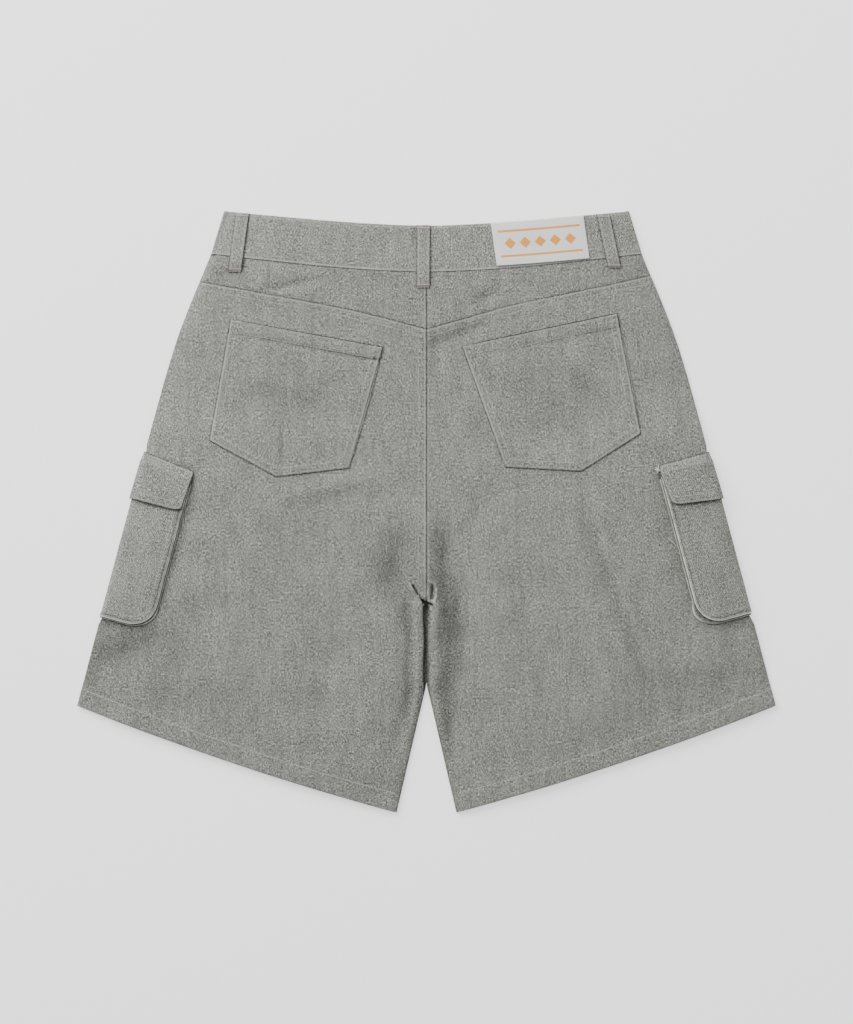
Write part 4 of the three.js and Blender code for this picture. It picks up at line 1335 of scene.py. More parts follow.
def cargo_face(side):
    """The face, column by column from its inner edge, round the side seam, to its front edge."""
    pocket = cargo_pockets[side]
    width = pocket["width"]
    part = spaced(150, 2.2, face_steps) / 150
    middle_row = 40
    strip, weave, edge_off = [], [], []
    run = 0.0
    for zone, place in round_side(width - spaced(width, 2.2, face_steps), pocket_front):
        reach = place if zone != "turn" else 0.0
        edge = pocket_front if zone == "under" else width
        top = mouth + (pocket["flap_drop"] * reach / width if zone == "back" else 0)
        down = mix(top, low_edge(pocket["length"], edge, reach), part)
        relief = face_relief(pocket, reach, down) if zone == "back" else 0
        points = wrap(side, down, zone, place, face_height + cloth + relief)
        if zone == "back":
            run = width - place
            edge_off.append(-outside_cargo(pocket, place, down))
        else:
            run += float(np.linalg.norm(points[middle_row] - strip[-1][middle_row]))
            edge_off.append(down[-1] - down)
        strip.append(points)
        weave.append(points_of(run + 0 * down, down))
    points, weave, off = [np.stack(columns, axis=1) for columns in (strip, weave, edge_off)]
    wear_and_painted_light = cargo_face_wear_and_shade(side, np.clip(off, 0, None), weave[..., 1])
    piece = cloth_piece(f"cargo_face_{side}", points, cloth, weave, wear_and_painted_light, 1)
    return sew_in(piece, f"cargo_pocket_{side}", twill_pocket)


print("a cargo pocket's face stands", round(face_height + cloth, 1), "mm off the leg")

# %% [markdown]
# ## The flap
# The flap is sewn to the leg above the pocket's mouth and hangs over it. It lies close to the leg
# at its seam, then rises over the pocket and stands a little off it at its free edge, most of all
# on the seat side, where nothing presses it. Its lower inner corner is cut off.

# %% Cargo flaps
flap_width = 50
flap_flare = 1.6


def flap_edges(pocket, share):
    """How far down the flap's seam and its lower edge lie, at a share of its width."""
    clipped = pocket["cut"] * np.clip((share - 0.85) / 0.15, 0, 1)
    return pocket["flap_drop"] * share, mix(flap_length, pocket["flap_end"], share) - clipped


def flap_stand(part, opened):
    """How far the flap's outer face stands off the leg. opened is 1 on the back and 0 in front."""
    rest = cloth + gap + cloth + 2 * gap
    return gap + (rest - gap) * soft(part / 0.22) + flap_flare * opened * soft(part) + cloth


def flap_relief(off_low, off_inner, down):
    """Rolled edges and stitch lines, two round the free edges and two below the flap's seam."""
    off = np.minimum(off_low, off_inner)
    border = -0.6 * fading(np.clip(off, 0, None), 0.9) + groove(off - lapped_row[0], 0.25, 0.8)
    below_seam = groove(down - double_row[0], 0.25, 0.8)
    border += groove(off - lapped_row[1], 0.25, 0.8) + below_seam + groove(down - double_row[1], 0.2, 0.8)
    return border + pucker(down, off_inner, 11, 6, 0.12) - 0.3 * fading(down, 1.0)


def flap_on_back(side, share, part, down):
    """Points on the flap's outer face, on the seat side."""
    pocket = cargo_pockets[side]
    top, low = flap_edges(pocket, share)
    height = flap_stand(part, 1.0) + flap_relief(low - down, flap_width * (1 - share), down - top)
    return wrap(side, down, "back", (flap_width - pocket["cut"] * part) * share, height)


def cargo_flap(side):
    """The flap, column by column like the face, but with a share of its width for a place."""
    pocket = cargo_pockets[side]
    part = spaced(48, 1.8) / 48
    middle_row = 8
    strip, weave = [], []
    run = 0.0
    for zone, place in round_side(1 - spaced(flap_width, 2.2) / flap_width, pocket_front + 1):
        share = place if zone == "back" else 0.0
        down = mix(*flap_edges(pocket, share), part)
        if zone == "back":
            points = flap_on_back(side, share, part, down)
        else:
            opened = (1 + np.cos(place)) / 2 if zone == "turn" else 0.0
            points = wrap(side, down, zone, place, flap_stand(part, opened))
        if strip:
            run += float(np.linalg.norm(points[middle_row] - strip[-1][middle_row]))
        strip.append(points)
        weave.append(points_of(run + 0 * down, down))
    points, weave = np.stack(strip, axis=1), np.stack(weave, axis=1)
    off = np.minimum(np.minimum(weave[..., 0], 48 * (1 - part[:, None])), 48 * part[:, None])
    piece = cloth_piece(f"cargo_flap_{side}", points, cloth, weave, edge_wear_and_shade(off), 1)
    return sew_in(piece, f"cargo_flap_{side}", twill_pocket)


print("a cargo flap's free edge stands", round(float(flap_stand(1.0, 1.0)), 1), "mm off the leg")

# %% [markdown]
# ## The bellows
# The bellows is a strip between the leg and the pocket's face, tucked in under it, which lets the
# pocket stand away from the leg when it is full. Only its outer fold shows, as a second edge round
# the pocket, widest at the lower inner corner. That fold is worn bare too. The rest of the strip
# is painted dark, as the shade it lies in under the face.

# %% Cargo bellows
gusset_fold = 12


def bellows_path(pocket):
    """The pocket's edge from its mouth on the back, round both corners, to its mouth in front.

    Each step is a zone, a place in it, a distance down and the direction out of the pocket.
    """
    width, length = pocket["width"], pocket["length"]
    turn_in = length - corner_radius
    corner = np.radians(np.arange(6, 90, 6))
    downward, inward = (1, 0), (0, 1)

    def round_corner(zone, edge, angles):
        for angle in angles:
            out = (np.sin(angle), np.cos(angle))
            yield zone, edge - corner_radius * (1 - out[1]), turn_in + corner_radius * out[0], out

    first = mouth + pocket["flap_drop"] + 2
    path = [("back", width, down, inward) for down in np.linspace(first, turn_in, 30)]
    path += round_corner("back", width, corner)
    path += [("back", reach, length, downward) for reach in np.linspace(width - corner_radius, 0, 8)]
    path += [("turn", angle, length, downward) for angle in turn_angles]
    in_front = np.linspace(0, pocket_front - corner_radius, 12)
    path += [("under", reach, length, downward) for reach in in_front]
    path += round_corner("under", pocket_front, corner[::-1])
    path += [("under", pocket_front, down, inward) for down in np.linspace(turn_in, mouth + 2, 20)]
    return path


def bellows_column(side, zone, place, down, out):
    """From the fold hidden under the face, out past its edge by as much as shows."""
    pocket = cargo_pockets[side]
    out_down, out_reach = out
    at_corner = 2 * out_down * out_reach if zone == "back" else 0
    shows = mix(pocket["fold"], pocket["bellows"], min(1, at_corner))
    column = []
    for offset in np.concatenate([np.linspace(-gusset_fold, -1, 6), [0, shows / 2, shows]]):
        moved = place if zone == "turn" else max(0, place + out_reach * offset)
        lower = down + out_down * min(offset, 1.2 + offset / 4)
        column.append(wrap(side, lower, zone, moved, gap + cloth))
    return np.stack(column)


def cargo_bellows(side):
    """The strip round the pocket, painted dark as shade under the face. Its last row of points is the fold
    that shows, worn bare.
    """
    strip = [bellows_column(side, *step) for step in bellows_path(cargo_pockets[side])]
    points = np.stack(strip, axis=1)
    along = distance_along(points[-1])
    weave = points_of(*np.meshgrid(along, np.arange(points.shape[0]) * 2.0))
    # the tucked strip is painted dark as shade, less so in the row before the fold, which is worn bare
    wear_and_painted_light = np.full(points.shape[:2], -0.9)
    wear_and_painted_light[-2] = -0.3
    wear_and_painted_light[-1] = 1.7 + 0.3 * np.sin(along / 7) + 0.2 * np.sin(along / 2.3)
    piece = cloth_piece(f"cargo_bellows_{side}", points, cloth, weave, wear_and_painted_light, 1)
    return sew_in(piece, f"cargo_gusset_{side}", twill_pocket)


for side in sign_of:
    cargo_bellows(side)
    cargo_face(side)
    cargo_flap(side)

# %% [markdown]
# ## Waist patch
# An off-white patch sits on the band right of the middle. It carries a plain printed pattern of
# its own: a row of orange lozenges between two thin orange lines.

# %% Patch
patch_left, patch_right, patch_height, patch_slant = 64.4, 156.8, 43, 6
patch_width = patch_right - patch_left
lozenge_pitch, lozenge_half, lozenge_shift = 15.0, 5.8, 6.3
line_place, line_half = 12.5, 1.1
lozenge_end, line_end = 38.0, 41.0


def patch_surface(across, down):
    x = mix(patch_left, patch_right, across) + patch_slant * down
    y = band_top_y(x / band_top_half) - 0.4 - patch_height * down
    from_side = np.minimum(across, 1 - across) * patch_width
    edge = np.minimum(from_side, np.minimum(down, 1 - down) * patch_height)
    relief = -0.35 * fading(edge, 0.6) + groove(edge - 2.0, 0.2, 0.7)
    relief = relief + 0.15 * np.sin(x / 11) * soft(edge / 6)
    return points_of(x, y, back_under(x, y) + band_wall + gap + cloth + relief)


def printed_ink(tree, across, down):
    """1 where the pattern is printed: whole lozenges in a row, between two lines."""
    def off(value, middle):
        return math_node(tree, "ABSOLUTE", math_node(tree, "SUBTRACT", value, middle))

    cell = math_node(tree, "MODULO", math_node(tree, "ADD", across, lozenge_shift), lozenge_pitch)
    up = off(down, patch_height / 2)
    from_middle = off(across, patch_width / 2)
    from_lozenge = math_node(tree, "ADD", off(cell, lozenge_pitch / 2), up)
    from_line = off(up, line_place)
    shapes = []
    for distance, half, end in ((from_lozenge, lozenge_half, lozenge_end), (from_line, line_half, line_end)):
        within = math_node(tree, "LESS_THAN", from_middle, end)
        shapes.append(math_node(tree, "MULTIPLY", math_node(tree, "LESS_THAN", distance, half), within))
    return math_node(tree, "MAXIMUM", *shapes)


def print_finish():
    material, tree, shader = new_material("printed_patch", Roughness=0.85, Specular_IOR_Level=0.15)
    cut = node(tree, "UVMap", {}, uv_map="weave").outputs["UV"]
    place = node(tree, "SeparateXYZ", {"Vector": cut}).outputs
    mottle = noise(tree, cut, 0.8, (1, 1, 1), 3.0)
    kept = math_node(tree, "MINIMUM", math_node(tree, "MULTIPLY_ADD", mottle, 0.35, 0.72), 1.0)
    ink = math_node(tree, "MULTIPLY", printed_ink(tree, place["X"], place["Y"]), kept)
    ground = ramp(tree, mottle, [(0.3, (0.93, 0.91, 0.885)), (0.7, (0.985, 0.97, 0.95))])
    orange = (0.93, 0.345, 0.004, 1)
    finish_with(tree, shader, color_mix(tree, ink, ground, orange), mottle, strength=0.25, distance=0.0002)
    return material


def patch_piece():
    columns, rows = [spaced(length, 2.2) / length for length in (patch_width, patch_height)]
    across, down = np.meshgrid(columns, rows)
    points = patch_surface(across, down)
    weave = points_of(across * patch_width, down * patch_height)
    piece = cloth_piece("waist_patch", points, cloth, weave, 0 * across, 1)
    put_in(piece, print_finish(), "patch")
    return piece


patch_piece()
print("patch:", round(patch_width, 1), "x", patch_height, "mm as it shows")

# %% [markdown]
# ## Fly
# The fly is closed and lies face down: a zip tape with its two rows of teeth, a slider whose pull
# lies along them, and a metal button through the lapped band. None of it shows from above, but a
# pair of shorts can't close without it.

# %% Metal and tape
def streaked(material, tree, shader, scale, stretch, stops):
    """Two tones of a noise that is stretched as the stuff is brushed, woven or twisted."""
    place = node(tree, "TexCoord", {}).outputs["Object"]
    finish_with(tree, shader, ramp(tree, noise(tree, place, scale, stretch), stops))
    return material


def metal_finish():
    base = new_material("brushed_metal", Roughness=0.38, Metallic=1.0)
    return streaked(*base, 900.0, (1, 0.15, 1), [(0.3, (0.42, 0.42, 0.40)), (0.7, (0.62, 0.62, 0.60))])


def tape_finish():
    base = new_material("zip_tape", Roughness=0.85)
    return streaked(*base, 1400.0, (1, 0.3, 1), [(0.35, (0.20, 0.20, 0.19)), (0.65, (0.30, 0.30, 0.285))])


metal = metal_finish()
tape = tape_finish()


def join_faces(name, points, faces, smooth=False):
    """One mesh from points in millimetres and faces that name their points by number."""
    mesh = bpy.data.meshes.new(name)
    mesh.from_pydata((np.asarray(points) * MM).tolist(), [], [list(face) for face in faces])
    mesh.polygons.foreach_set("use_smooth", np.full(len(mesh.polygons), smooth))
    mesh.update()
    return link(bpy.data.objects.new(name, mesh))


print("fly finishes:", metal.name, tape.name)

# %% [markdown]
# The zip is a strip of woven tape with a low swelling under the chain. Each tooth is a small box,
# set by turns a little to the left and a little to the right of the middle, so that they mesh.

# %% Zip
zip_top, zip_end, zip_half = 193, 60, 13
tooth_pitch = 1.6
tooth_size = np.array([2.6, 0.9, 0.8])
fly_level = cloth + gap


def boxes(centres, sizes):
    """Many small boxes as one set of points and faces."""
    corner = np.array([[i, j, k] for i in (-1, 1) for j in (-1, 1) for k in (-1, 1)], float) / 2
    sides = np.array([[0, 1, 3, 2], [4, 6, 7, 5], [0, 4, 5, 1], [2, 3, 7, 6], [0, 2, 6, 4], [1, 5, 7, 3]])
    points = (centres[:, None, :] + corner * sizes).reshape(-1, 3)
    faces = (sides[None] + 8 * np.arange(len(centres))[:, None, None]).reshape(-1, 4)
    return points, faces


def zip_tape():
    across, down = np.meshgrid(np.linspace(-zip_half, zip_half, 14), np.linspace(zip_top, zip_end, 60))
    level = trim_lift(0 * across, down) + fly_level
    chain = 0.2 * bell(across, 3.0)
    points = points_of(across, down, level + 0.75 + chain)
    piece = cloth_piece("zip_tape", points, 0.7, points_of(across, down), 0 * across, 1)
    put_in(piece, tape, "zip")
    return piece


def zip_teeth():
    """Two interlocked rows: every other tooth sits to the left of the middle."""
    rows = np.arange(zip_end + 4, zip_top - 2, tooth_pitch)
    x = np.where(np.arange(len(rows)) % 2 == 0, -0.9, 0.9)
    z = trim_lift(0 * rows, rows) + fly_level + 1.0
    print("zip teeth:", len(rows))
    return put_in(join_faces("zip_teeth", *boxes(points_of(x, rows, z), tooth_size)), metal)


zip_pieces = [zip_tape(), zip_teeth()]

# %% [markdown]
# The slider and the button are metal and hard, so they are plain solids and not shells: a slab
# with a changing width for the slider and its pull, and a turned profile for the button.

# %% Slider and button
def tube_faces(rings, sides):
    """Four-sided faces between one ring of points and the next. Each ring has `sides` points."""
    faces = []
    for ring in range(rings - 1):
        for i in range(sides):
            a, b = ring * sides + i, ring * sides + (i + 1) % sides
            faces.append((a, b, b + sides, a + sides))
    return faces


def tapered_slab(rows, level):
    """Closed slab through rows of (y, half width, bottom, top), the last two above a level."""
    points = []
    for y, half, low, high in rows:
        bottom, top = level + low, level + high
        points += [(-half, y, bottom), (half, y, bottom), (half, y, top), (-half, y, top)]
    last = 4 * (len(rows) - 1)
    faces = tube_faces(len(rows), 4) + [(3, 2, 1, 0), (last, last + 1, last + 2, last + 3)]
    return points, faces


def zip_slider():
    """A body that tapers to both ends, and a pull laid down over the tape."""
    level = float(trim_lift(np.array(0.0), np.array(float(zip_top)))) + fly_level
    body = [(193.6, 1.6, 0.2, 1.9), (195, 2.7, 0, 2.0), (198, 3.0, 0, 2.1)]
    body += [(201, 2.8, 0, 2.1), (202.2, 1.8, 0.3, 1.9)]
    pull = [(173.4, 1.6, 0.8, 1.4), (174.4, 2.4, 0.75, 1.5), (188, 2.1, 1.15, 1.9), (193.6, 1.2, 1.3, 2.0)]
    body_points, body_faces = tapered_slab(body, level)
    pull_points, pull_faces = tapered_slab(pull, level)
    faces = body_faces + [tuple(i + len(body_points) for i in face) for face in pull_faces]
    piece = join_faces("zip_slider_pull", body_points + pull_points, faces)
    return put_in(piece, metal, "zip_slider")


def turned(profile, centre, steps=40):
    """A solid turned round the vertical: profile is rows of (radius, height)."""
    angles = np.linspace(0, 2 * np.pi, steps, endpoint=False)
    points = [
        (centre[0] + radius * np.cos(angle), centre[1] + radius * np.sin(angle), centre[2] + height)
        for radius, height in profile
        for angle in angles
    ]
    faces = tube_faces(len(profile), steps)
    faces.append(tuple(range(steps))[::-1])
    faces.append(tuple(range((len(profile) - 1) * steps, len(profile) * steps)))
    return points, faces


def waist_button():
    """A rimmed disc on a short shank. Its middle lies half way down the band."""
    profile = [(5.2, 0.35), (5.6, 0.05), (6.2, 0), (7.9, 0), (8.4, 0.3), (8.5, 0.8), (8.4, 1.3), (7.9, 1.6)]
    profile += [(1.8, 1.6), (1.8, 3.9)]
    centre = (0, (float(front_top_y(0)) + float(front_seam_y(0))) / 2, 0)
    piece = join_faces("waist_button_metal", *turned(profile, centre))
    return put_in(piece, metal, "waist_button")


fly_metal = [zip_slider(), waist_button()]
print("fly:", [piece.name for piece in zip_pieces + fly_metal])

# %% [markdown]
# ## Stitching
# A topstitch is a row of short raised lengths of thread, each dipping into the cloth at both ends.
# `sew` takes rows of points that lie on the cloth and sets one small spindle after another along
# them. All the stitches of a region are joined in one mesh. Their length and lie vary a little.

# %% Threads
stitch_pitch = 3.1
stitch_length = 2.5
thread_radius = 0.31


def thread_finish(name, dark, pale):
    base = new_material(name, Roughness=0.7, Sheen_Weight=0.2)
    return streaked(*base, 1100.0, (1, 1, 1), [(0.3, dark), (0.7, pale)])


thread = thread_finish("grey_thread", (0.36, 0.36, 0.34), (0.56, 0.56, 0.53))
pale_thread = thread_finish("pale_thread", (0.60, 0.60, 0.57), (0.78, 0.78, 0.74))
tack_thread = thread_finish("pink_grey_thread", (0.34, 0.29, 0.275), (0.50, 0.44, 0.42))
print("threads:", thread.name, pale_thread.name, tack_thread.name)

# %% [markdown]
# A stitch here is a spindle: five rings of six points from one end to the other, thin and sunk at
# the ends, full and raised in the middle. Six sides are enough for a thread half a millimetre
# thick, and they keep three thousand stitches light.

# %% Stitch helpers
def points_at(places, along, path):
    """The points of a path at some distances along it, each coordinate read in turn."""
    return np.stack([np.interp(places, along, column) for column in np.transpose(path)], axis=-1)


def dense(path, step=1.0):
    """Points every step along a polyline of plan points."""
    path = np.asarray(path, float)
    along = distance_along(path)
    return points_at(np.linspace(0, along[-1], max(2, int(along[-1] / step) + 1)), along, path)


def on_surface(path, surface):
    plan = dense(path)
    return np.column_stack([plan, surface(plan[:, 0], plan[:, 1])])


spindle_rings = [
    # share of the length, share of the radius, height in radiuses
    (0.0, 0.35, -1.1),
    (0.1, 0.85, -0.4),
    (0.5, 1.0, 0.35),
    (0.9, 0.85, -0.4),
    (1.0, 0.35, -1.1),
]
spindle_sides = 6


def spindles(starts, ends, radius, up):
    """Spindles from starts to ends, dipping at both ends. up is -1 on the garment's front."""
    along = ends - starts
    length = np.linalg.norm(along, axis=1, keepdims=True)
    along = along / length
    across = np.cross(along, np.array([0, 0, up], float))
    across /= np.linalg.norm(across, axis=1, keepdims=True)
    lift = np.cross(across, along)
    points = []
    for place, girth, height in spindle_rings:
        centre = starts + along * length * place + lift * radius * height
        for angle in np.arange(spindle_sides) * 2 * np.pi / spindle_sides:
            offset = across * np.cos(angle) + lift * 0.8 * np.sin(angle)
            points.append(centre + offset * radius * girth)
    points = np.stack(points, axis=1)
    faces = np.array(tube_faces(len(spindle_rings), spindle_sides))
    first_points = points.shape[1] * np.arange(len(starts))
    return points.reshape(-1, 3), (faces + first_points[:, None, None]).reshape(-1, 4)


def sew_ends(name, starts, ends, radius, up, raised, material):
    """All the stitches between pairs of points as one piece."""
    starts, ends = np.concatenate(starts), np.concatenate(ends)
    points, faces = spindles(starts, ends, radius, up)
    piece = join_faces(name, points + np.array([0, 0, raised * up]), faces, smooth=True)
    print(name, "stitches:", len(starts))
    return put_in(piece, material)


def sew(name, rows, radius=thread_radius, pitch=stitch_pitch, length=stitch_length, up=1, material=thread):
    """Stitches along rows of points on the cloth, joined in one mesh."""
    starts, ends = [], []
    for row in rows:
        along = distance_along(row)
        centres = np.arange(pitch / 2, along[-1] - length / 2, pitch)
        centres = centres + rng.normal(0, 0.08, len(centres))
        half = length / 2 * (1 + rng.normal(0, 0.05, len(centres)))
        for places, store in ((centres - half, starts), (centres + half, ends)):
            point = points_at(places, along, row)
            point[:, :2] += rng.normal(0, 0.06, (len(places), 2))
            store.append(point)
    return sew_ends(name, starts, ends, radius, up, 0.14, material)

# %% [markdown]
# ## Where the threads run
# Each region has a function that lays its rows: two rows along the yoke seam, the centre seam, the
# band and round every pocket, one along each hem, and on the front the fly's curve. Each row is
# put on the surface of the piece that it holds down, so the thread follows puckers and creases.

# %% Seams of the legs and yoke
def hem_run(sign, x, surface):
    """The row along one leg's hem."""
    return on_surface(points_of(sign * x, hem_y(sign * x) + hem_stitch / hem_lean), surface)


def centre_run(off, y, surface):
    """A row beside the centre seam, on the left."""
    return on_surface(points_of(-off + 0 * y, y), surface)


def side_runs(side):
    """Stitch rows of one half: centre seam, yoke seam and hem."""
    sign = sign_of[side]

    def leg(x, y):
        return leg_surface(side, x, y)

    def upper(x, y):
        return yoke_surface(side, x, y)

    rows = []
    for off in lapped_row:
        x = np.linspace(4, 226, 70)
        rows.append(on_surface(points_of(sign * x, yoke_line[side](x) - off), leg))
    rows.append(hem_run(sign, np.linspace(hem_inner_half + 2, 347, 80), leg))
    if side == "left":
        rows += [centre_run(off, np.linspace(180, crotch + 4, 80), leg) for off in double_row]
        rows += [centre_run(off, np.linspace(237, 187, 20), upper) for off in double_row]
    return rows


sew("leg_stitching", side_runs("left") + side_runs("right"))

# %% Seams of the band and loops
def band_runs():
    """A row along the band's top edge and one above its seam."""
    part = np.linspace(-0.965, 0.965, 200)
    rows = []
    for from_top in (band_top_row, 44.2):
        y = band_top_y(part) - from_top * (band_top_y(part) - band_seam_y(part)) / band_height
        half = mix(band_top_half, band_seam_half, from_top / band_height)
        rows.append(on_surface(points_of(part * half, y), band_surface))
    return rows


sew("band_stitching", band_runs())


def mark_runs():
    """Two short tacks that hold the band's inner ply."""
    y = np.linspace(258, 272, 8)
    return [on_surface(points_of(x + 0 * y, y), band_surface) for x in (-36, 25)]


sew("band_marks", mark_runs(), radius=0.4, pitch=3.6, length=2.6, material=pale_thread)


def loop_runs():
    down = np.linspace(0.05, 0.95, 60)
    return [loop_surface(loop, off + 0 * down, down) for loop in loop_places for off in (-4.6, 4.6)]


sew("loop_stitching", loop_runs(), radius=0.25)

# %% [markdown]
# The front is stitched from below: its rows run on the underside, and `up` is turned over. Nobody
# sees them while the shorts lie like this, but they are there when a pair is turned over.

# %% Seams of the front
def fly_curve():
    """The fly's topstitching: straight down beside the zip, then round to the centre seam."""
    turn = np.radians(np.arange(0, 91, 6))
    straight = points_of(np.full(20, -32.0), np.linspace(206, 92, 20))
    corner = points_of(-2 - 30 * np.cos(turn), 92 - 30 * np.sin(turn))
    return np.concatenate([straight, corner[1:]])


def band_front(x, y):
    """Outer face of the band in front, where the lapped end stands on the other."""
    lapped = np.where(x > lap_half, on_lap(x), 0)
    return trim_lift(x, y) + lapped * (band_wall + gap)


def front_runs():
    rows = [on_surface(fly_curve(), front_under)]
    along_hem = np.linspace(hem_inner_half + 2, 346, 80)
    rows += [hem_run(sign, along_hem, front_under) for sign in sign_of.values()]
    for start, end in ((-196, lap_half - 2), (lap_half + 4, 196)):
        x = np.linspace(start, end, 60)
        part = x / band_top_half
        for from_top in (band_top_row, 43.6):
            y = front_top_y(part) - from_top
            rows.append(on_surface(points_of(x, y), band_front))
    return rows


sew("front_stitching", front_runs(), up=-1)

# %% [markdown]
# A seat pocket is stitched twice along every edge but its mouth. `inset_line` moves the outline in
# by a row's distance and finds where its straight lines meet again.

# %% Seams of the seat pockets
def inset_line(corners, off):
    """The line through corners, moved in by off. Its two ends are only moved sideways."""
    corners = [np.array(c, float) for c in corners]
    middle = sum(corners) / len(corners)
    moved = []
    for a, b in zip(corners[:-1], corners[1:]):
        along = direction(a, b)
        away = np.array([along[1], -along[0]])
        if (middle - a) @ away < 0:
            away = -away
        moved.append((a + away * off, b + away * off, along))
    line = [moved[0][0]]
    for (_, end, along), (start, _, after) in zip(moved[:-1], moved[1:]):
        matrix = np.array([along, -after]).T
        t = np.linalg.solve(matrix, start - end)
        line.append(end + along * t[0])
    line.append(moved[-1][1])
    return np.array(line)


def seat_runs(side):
    def surface(x, y):
        return seat_surface(side, x, y)

    corners = seat_pockets[side]
    around = corners[1:] + corners[:1]
    rows = [on_surface(inset_line(around, off), surface) for off in pocket_stitch_rows]
    a, b = np.array(corners[:2], float)
    along = direction(a, b)
    down = np.array([along[1], -along[0]])
    down = down if down[1] < 0 else -down
    mouth_row = [a + down * mouth_hem + along * 5, b + down * mouth_hem - along * 5]
    return rows + [on_surface(mouth_row, surface)]


sew("seat_pocket_stitching", seat_runs("left") + seat_runs("right"))

# %% [markdown]
# The cargo pockets' rows are found from distances down the side seam and in from it, and `wrap`
# puts them in place. Only the third that lies on the back is stitched.

# %% Seams of the cargo pockets
def face_run(side, off):
    """A row down the face's inner edge, round its corner and along its lower edge."""
    pocket = cargo_pockets[side]
    width, turn_in = pocket["width"], pocket["length"] - corner_radius
    radius = corner_radius - off
    corner = np.radians(np.arange(0, 91, 5))
    beside = np.linspace(flap_length - 2, turn_in, 50)
    below = np.linspace(width - corner_radius, 0, 10)[1:]
    corner_down = turn_in + radius * np.sin(corner)
    corner_reach = width - corner_radius + radius * np.cos(corner)
    down = np.concatenate([beside, corner_down, 0 * below + pocket["length"] - off])
    reach = np.concatenate([0 * beside + width - off, corner_reach, below])
    down, reach = dense(points_of(down, reach)).T
    height = face_height + cloth + face_relief(pocket, reach, down)
    return wrap(side, down, "back", reach, height)


def cargo_runs(side):
    pocket = cargo_pockets[side]
    rows = [face_run(side, off) for off in face_stitch_rows]
    for off in lapped_row:
        share_in = 1 - off / flap_width
        top = pocket["flap_drop"] * share_in
        low = mix(flap_length, pocket["flap_end"], share_in) - off
        rows.append(flap_row(side, [(share_in, top + 2.2), (share_in, low), (0.02, flap_length - off)]))
    for off in double_row:
        rows.append(flap_row(side, [(0.96, pocket["flap_drop"] * 0.96 + off), (0.02, off)]))
    return rows


def flap_row(side, path):
    """Points on the flap's outer face along a path of (share of its width, distance down)."""
    line = dense(np.array(path, float) * (flap_width, 1))
    share, down = line[:, 0] / flap_width, line[:, 1]
    top, low = flap_edges(cargo_pockets[side], share)
    return flap_on_back(side, share, np.clip((down - top) / (low - top), 0, 1), down)


sew("cargo_pocket_stitching", cargo_runs("left") + cargo_runs("right"))

# %% [markdown]
# ## Bar tacks
# A bar tack is a dense zigzag a few millimetres long that locks the end of a seam that will be
# pulled on: both ends of each belt loop, and the corners of each pocket's mouth.

# %% Bar tacks
loop_tack = loop_width - 1.4


def tack(centre, along, length, width, surface):
    """Both ends of the zigzag stitches across a short bar. along is its direction in plan."""
    centre = np.array(centre, float)
    along = np.array(along, float) / np.hypot(*along)
    across = np.array([-along[1], along[0]])
    ends = np.linspace(-length / 2, length / 2, int(length / 0.55))
    a = centre + along * ends[:, None] - across * width / 2
    b = centre + along * (ends[:, None] + 0.25) + across * width / 2
    return surface(a), surface(b)


def bar_tacks():
    """At both ends of each back loop, and at both ends of each seat pocket's mouth."""
    bars = []
    for loop in loop_places:
        def on_loop(plan, loop=loop):
            return loop_surface(loop, plan[:, 0], plan[:, 1] / loop_length)

        for down in (0.045, 0.955):
            bars.append(tack((0.0, down * loop_length), (1, 0), loop_tack, 2.2, on_loop))
    for side, corners in seat_pockets.items():
        def on_pocket(plan, side=side):
            return np.column_stack([plan, seat_surface(side, plan[:, 0], plan[:, 1])])

        outer, inner = np.array(corners[:2], float)
        along = direction(outer, inner)
        for corner, sign in ((outer, 1), (inner, -1)):
            bars.append(tack(corner + along * sign * 5.5 + np.array([0, -2.4]), along, 8, 2.0, on_pocket))
    return sew_ends("bar_tacks", *zip(*bars), 0.3, 1, 0.2, tack_thread)


bar_tacks()


def front_tacks():
    """The same on the two loops in front, whose face lies on the table."""
    def on_table(plan):
        return np.column_stack([plan, 0 * plan[:, 0]])

    bars = []
    for sign in sign_of.values():
        for down in (2.8, 57.2):
            bars.append(tack((sign * front_loop_x, front_loop_top - down), (1, 0), loop_tack, 2.2, on_table))
    return sew_ends("front_bar_tacks", *zip(*bars), 0.3, -1, 0, tack_thread)


front_tacks()

# %% [markdown]
# One corner has come undone: at the right cargo flap's inner top corner the threads have pulled out
# and lie in a small star. Such a flaw says more about wear than any amount of noise.

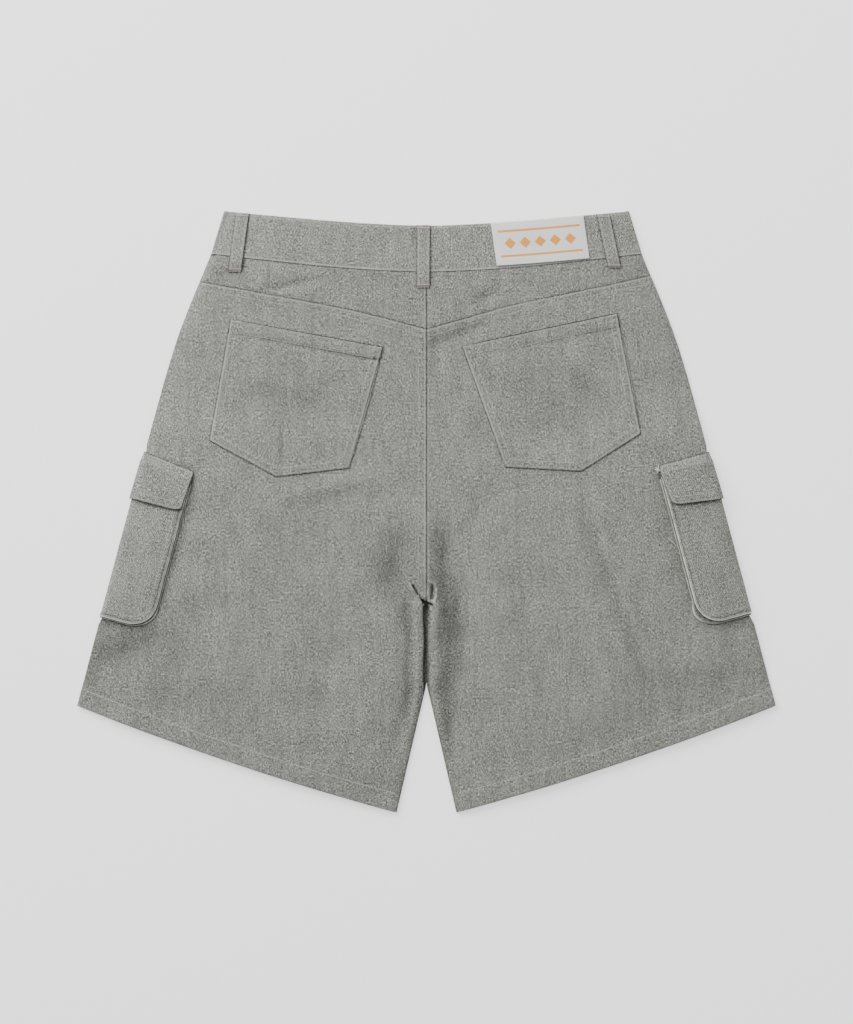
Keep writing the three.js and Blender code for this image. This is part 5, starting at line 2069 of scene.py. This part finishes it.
# %% Frayed corner
def frayed_corner():
    """Loose ends of thread round the inner top corner of the right cargo flap."""
    x, y = 231.8, 42.6
    root = np.array([x, y, float(back_top(x, y)) + 2.7])
    heads = np.radians([100, 150, 185, 215, 250, 300])
    reach = np.array([4.2, 3.8, 4.4, 3.4, 4.6, 2.6])
    ends = root + points_of(reach * np.cos(heads), reach * np.sin(heads), 0 * heads - 0.5)
    starts = np.repeat(root[None], len(heads), axis=0)
    return sew_ends("frayed_corner", [starts], [ends], 0.5, 1, 0, pale_thread)


frayed_corner()

# %% [markdown]
# ## Floor and light
# A pale floor that glows a little, a large soft light and a bright even surround give the flat lay
# its shadowless look: only the folds and the seams are shaded.

# %% Floor
floor_reach = 6.0
floor_drop = 0.0006
corners = [(-floor_reach, -floor_reach, 0), (floor_reach, -floor_reach, 0)]
corners += [(floor_reach, floor_reach, 0), (-floor_reach, floor_reach, 0)]
floor_data = bpy.data.meshes.new("floor")
floor_data.from_pydata(corners, [], [(0, 1, 2, 3)])
floor = link(bpy.data.objects.new("floor", floor_data))
floor.location.z = -floor_drop
floor_material, _, floor_shader = new_material(
    "pale_floor", Roughness=0.95, Emission_Strength=1.0, Specular_IOR_Level=0.1
)
for socket, tone in {"Base Color": 0.97, "Emission Color": 1.0}.items():
    floor_shader.inputs[socket].default_value = (tone, tone, tone, 1)
floor.data.materials.append(floor_material)
print("floor:", 2 * floor_reach, "m wide, a hair below the cloth")

# %% [markdown]
# The key light is large and far over to the upper left, so every fold gets a soft dark side at its
# lower right. A weak one from the right keeps the shaded sides open, and the surround does the rest.

# %% Light
def area_light(name, location, size, power):
    """A round soft light aimed at the middle of the floor."""
    data = bpy.data.lights.new(name, "AREA")
    data.shape = "DISK"
    data.size = size
    data.energy = power
    light = link(bpy.data.objects.new(name, data))
    light.location = location
    light.rotation_euler = (-Vector(location)).to_track_quat("-Z", "Y").to_euler()
    return light


key = area_light("key_light", (-1.8, 2.2, 1.8), 3.0, 190)
fill = area_light("fill_light", (2.3, 1.8, 2.2), 1.6, 28)
world = bpy.data.worlds.new("surround")
world.use_nodes = True
surround = world.node_tree.nodes["Background"].inputs
surround["Color"].default_value = (1, 1, 1, 1)
surround["Strength"].default_value = 0.33
bpy.context.scene.world = world
print("lights:", key.data.energy, "W and", fill.data.energy, "W")
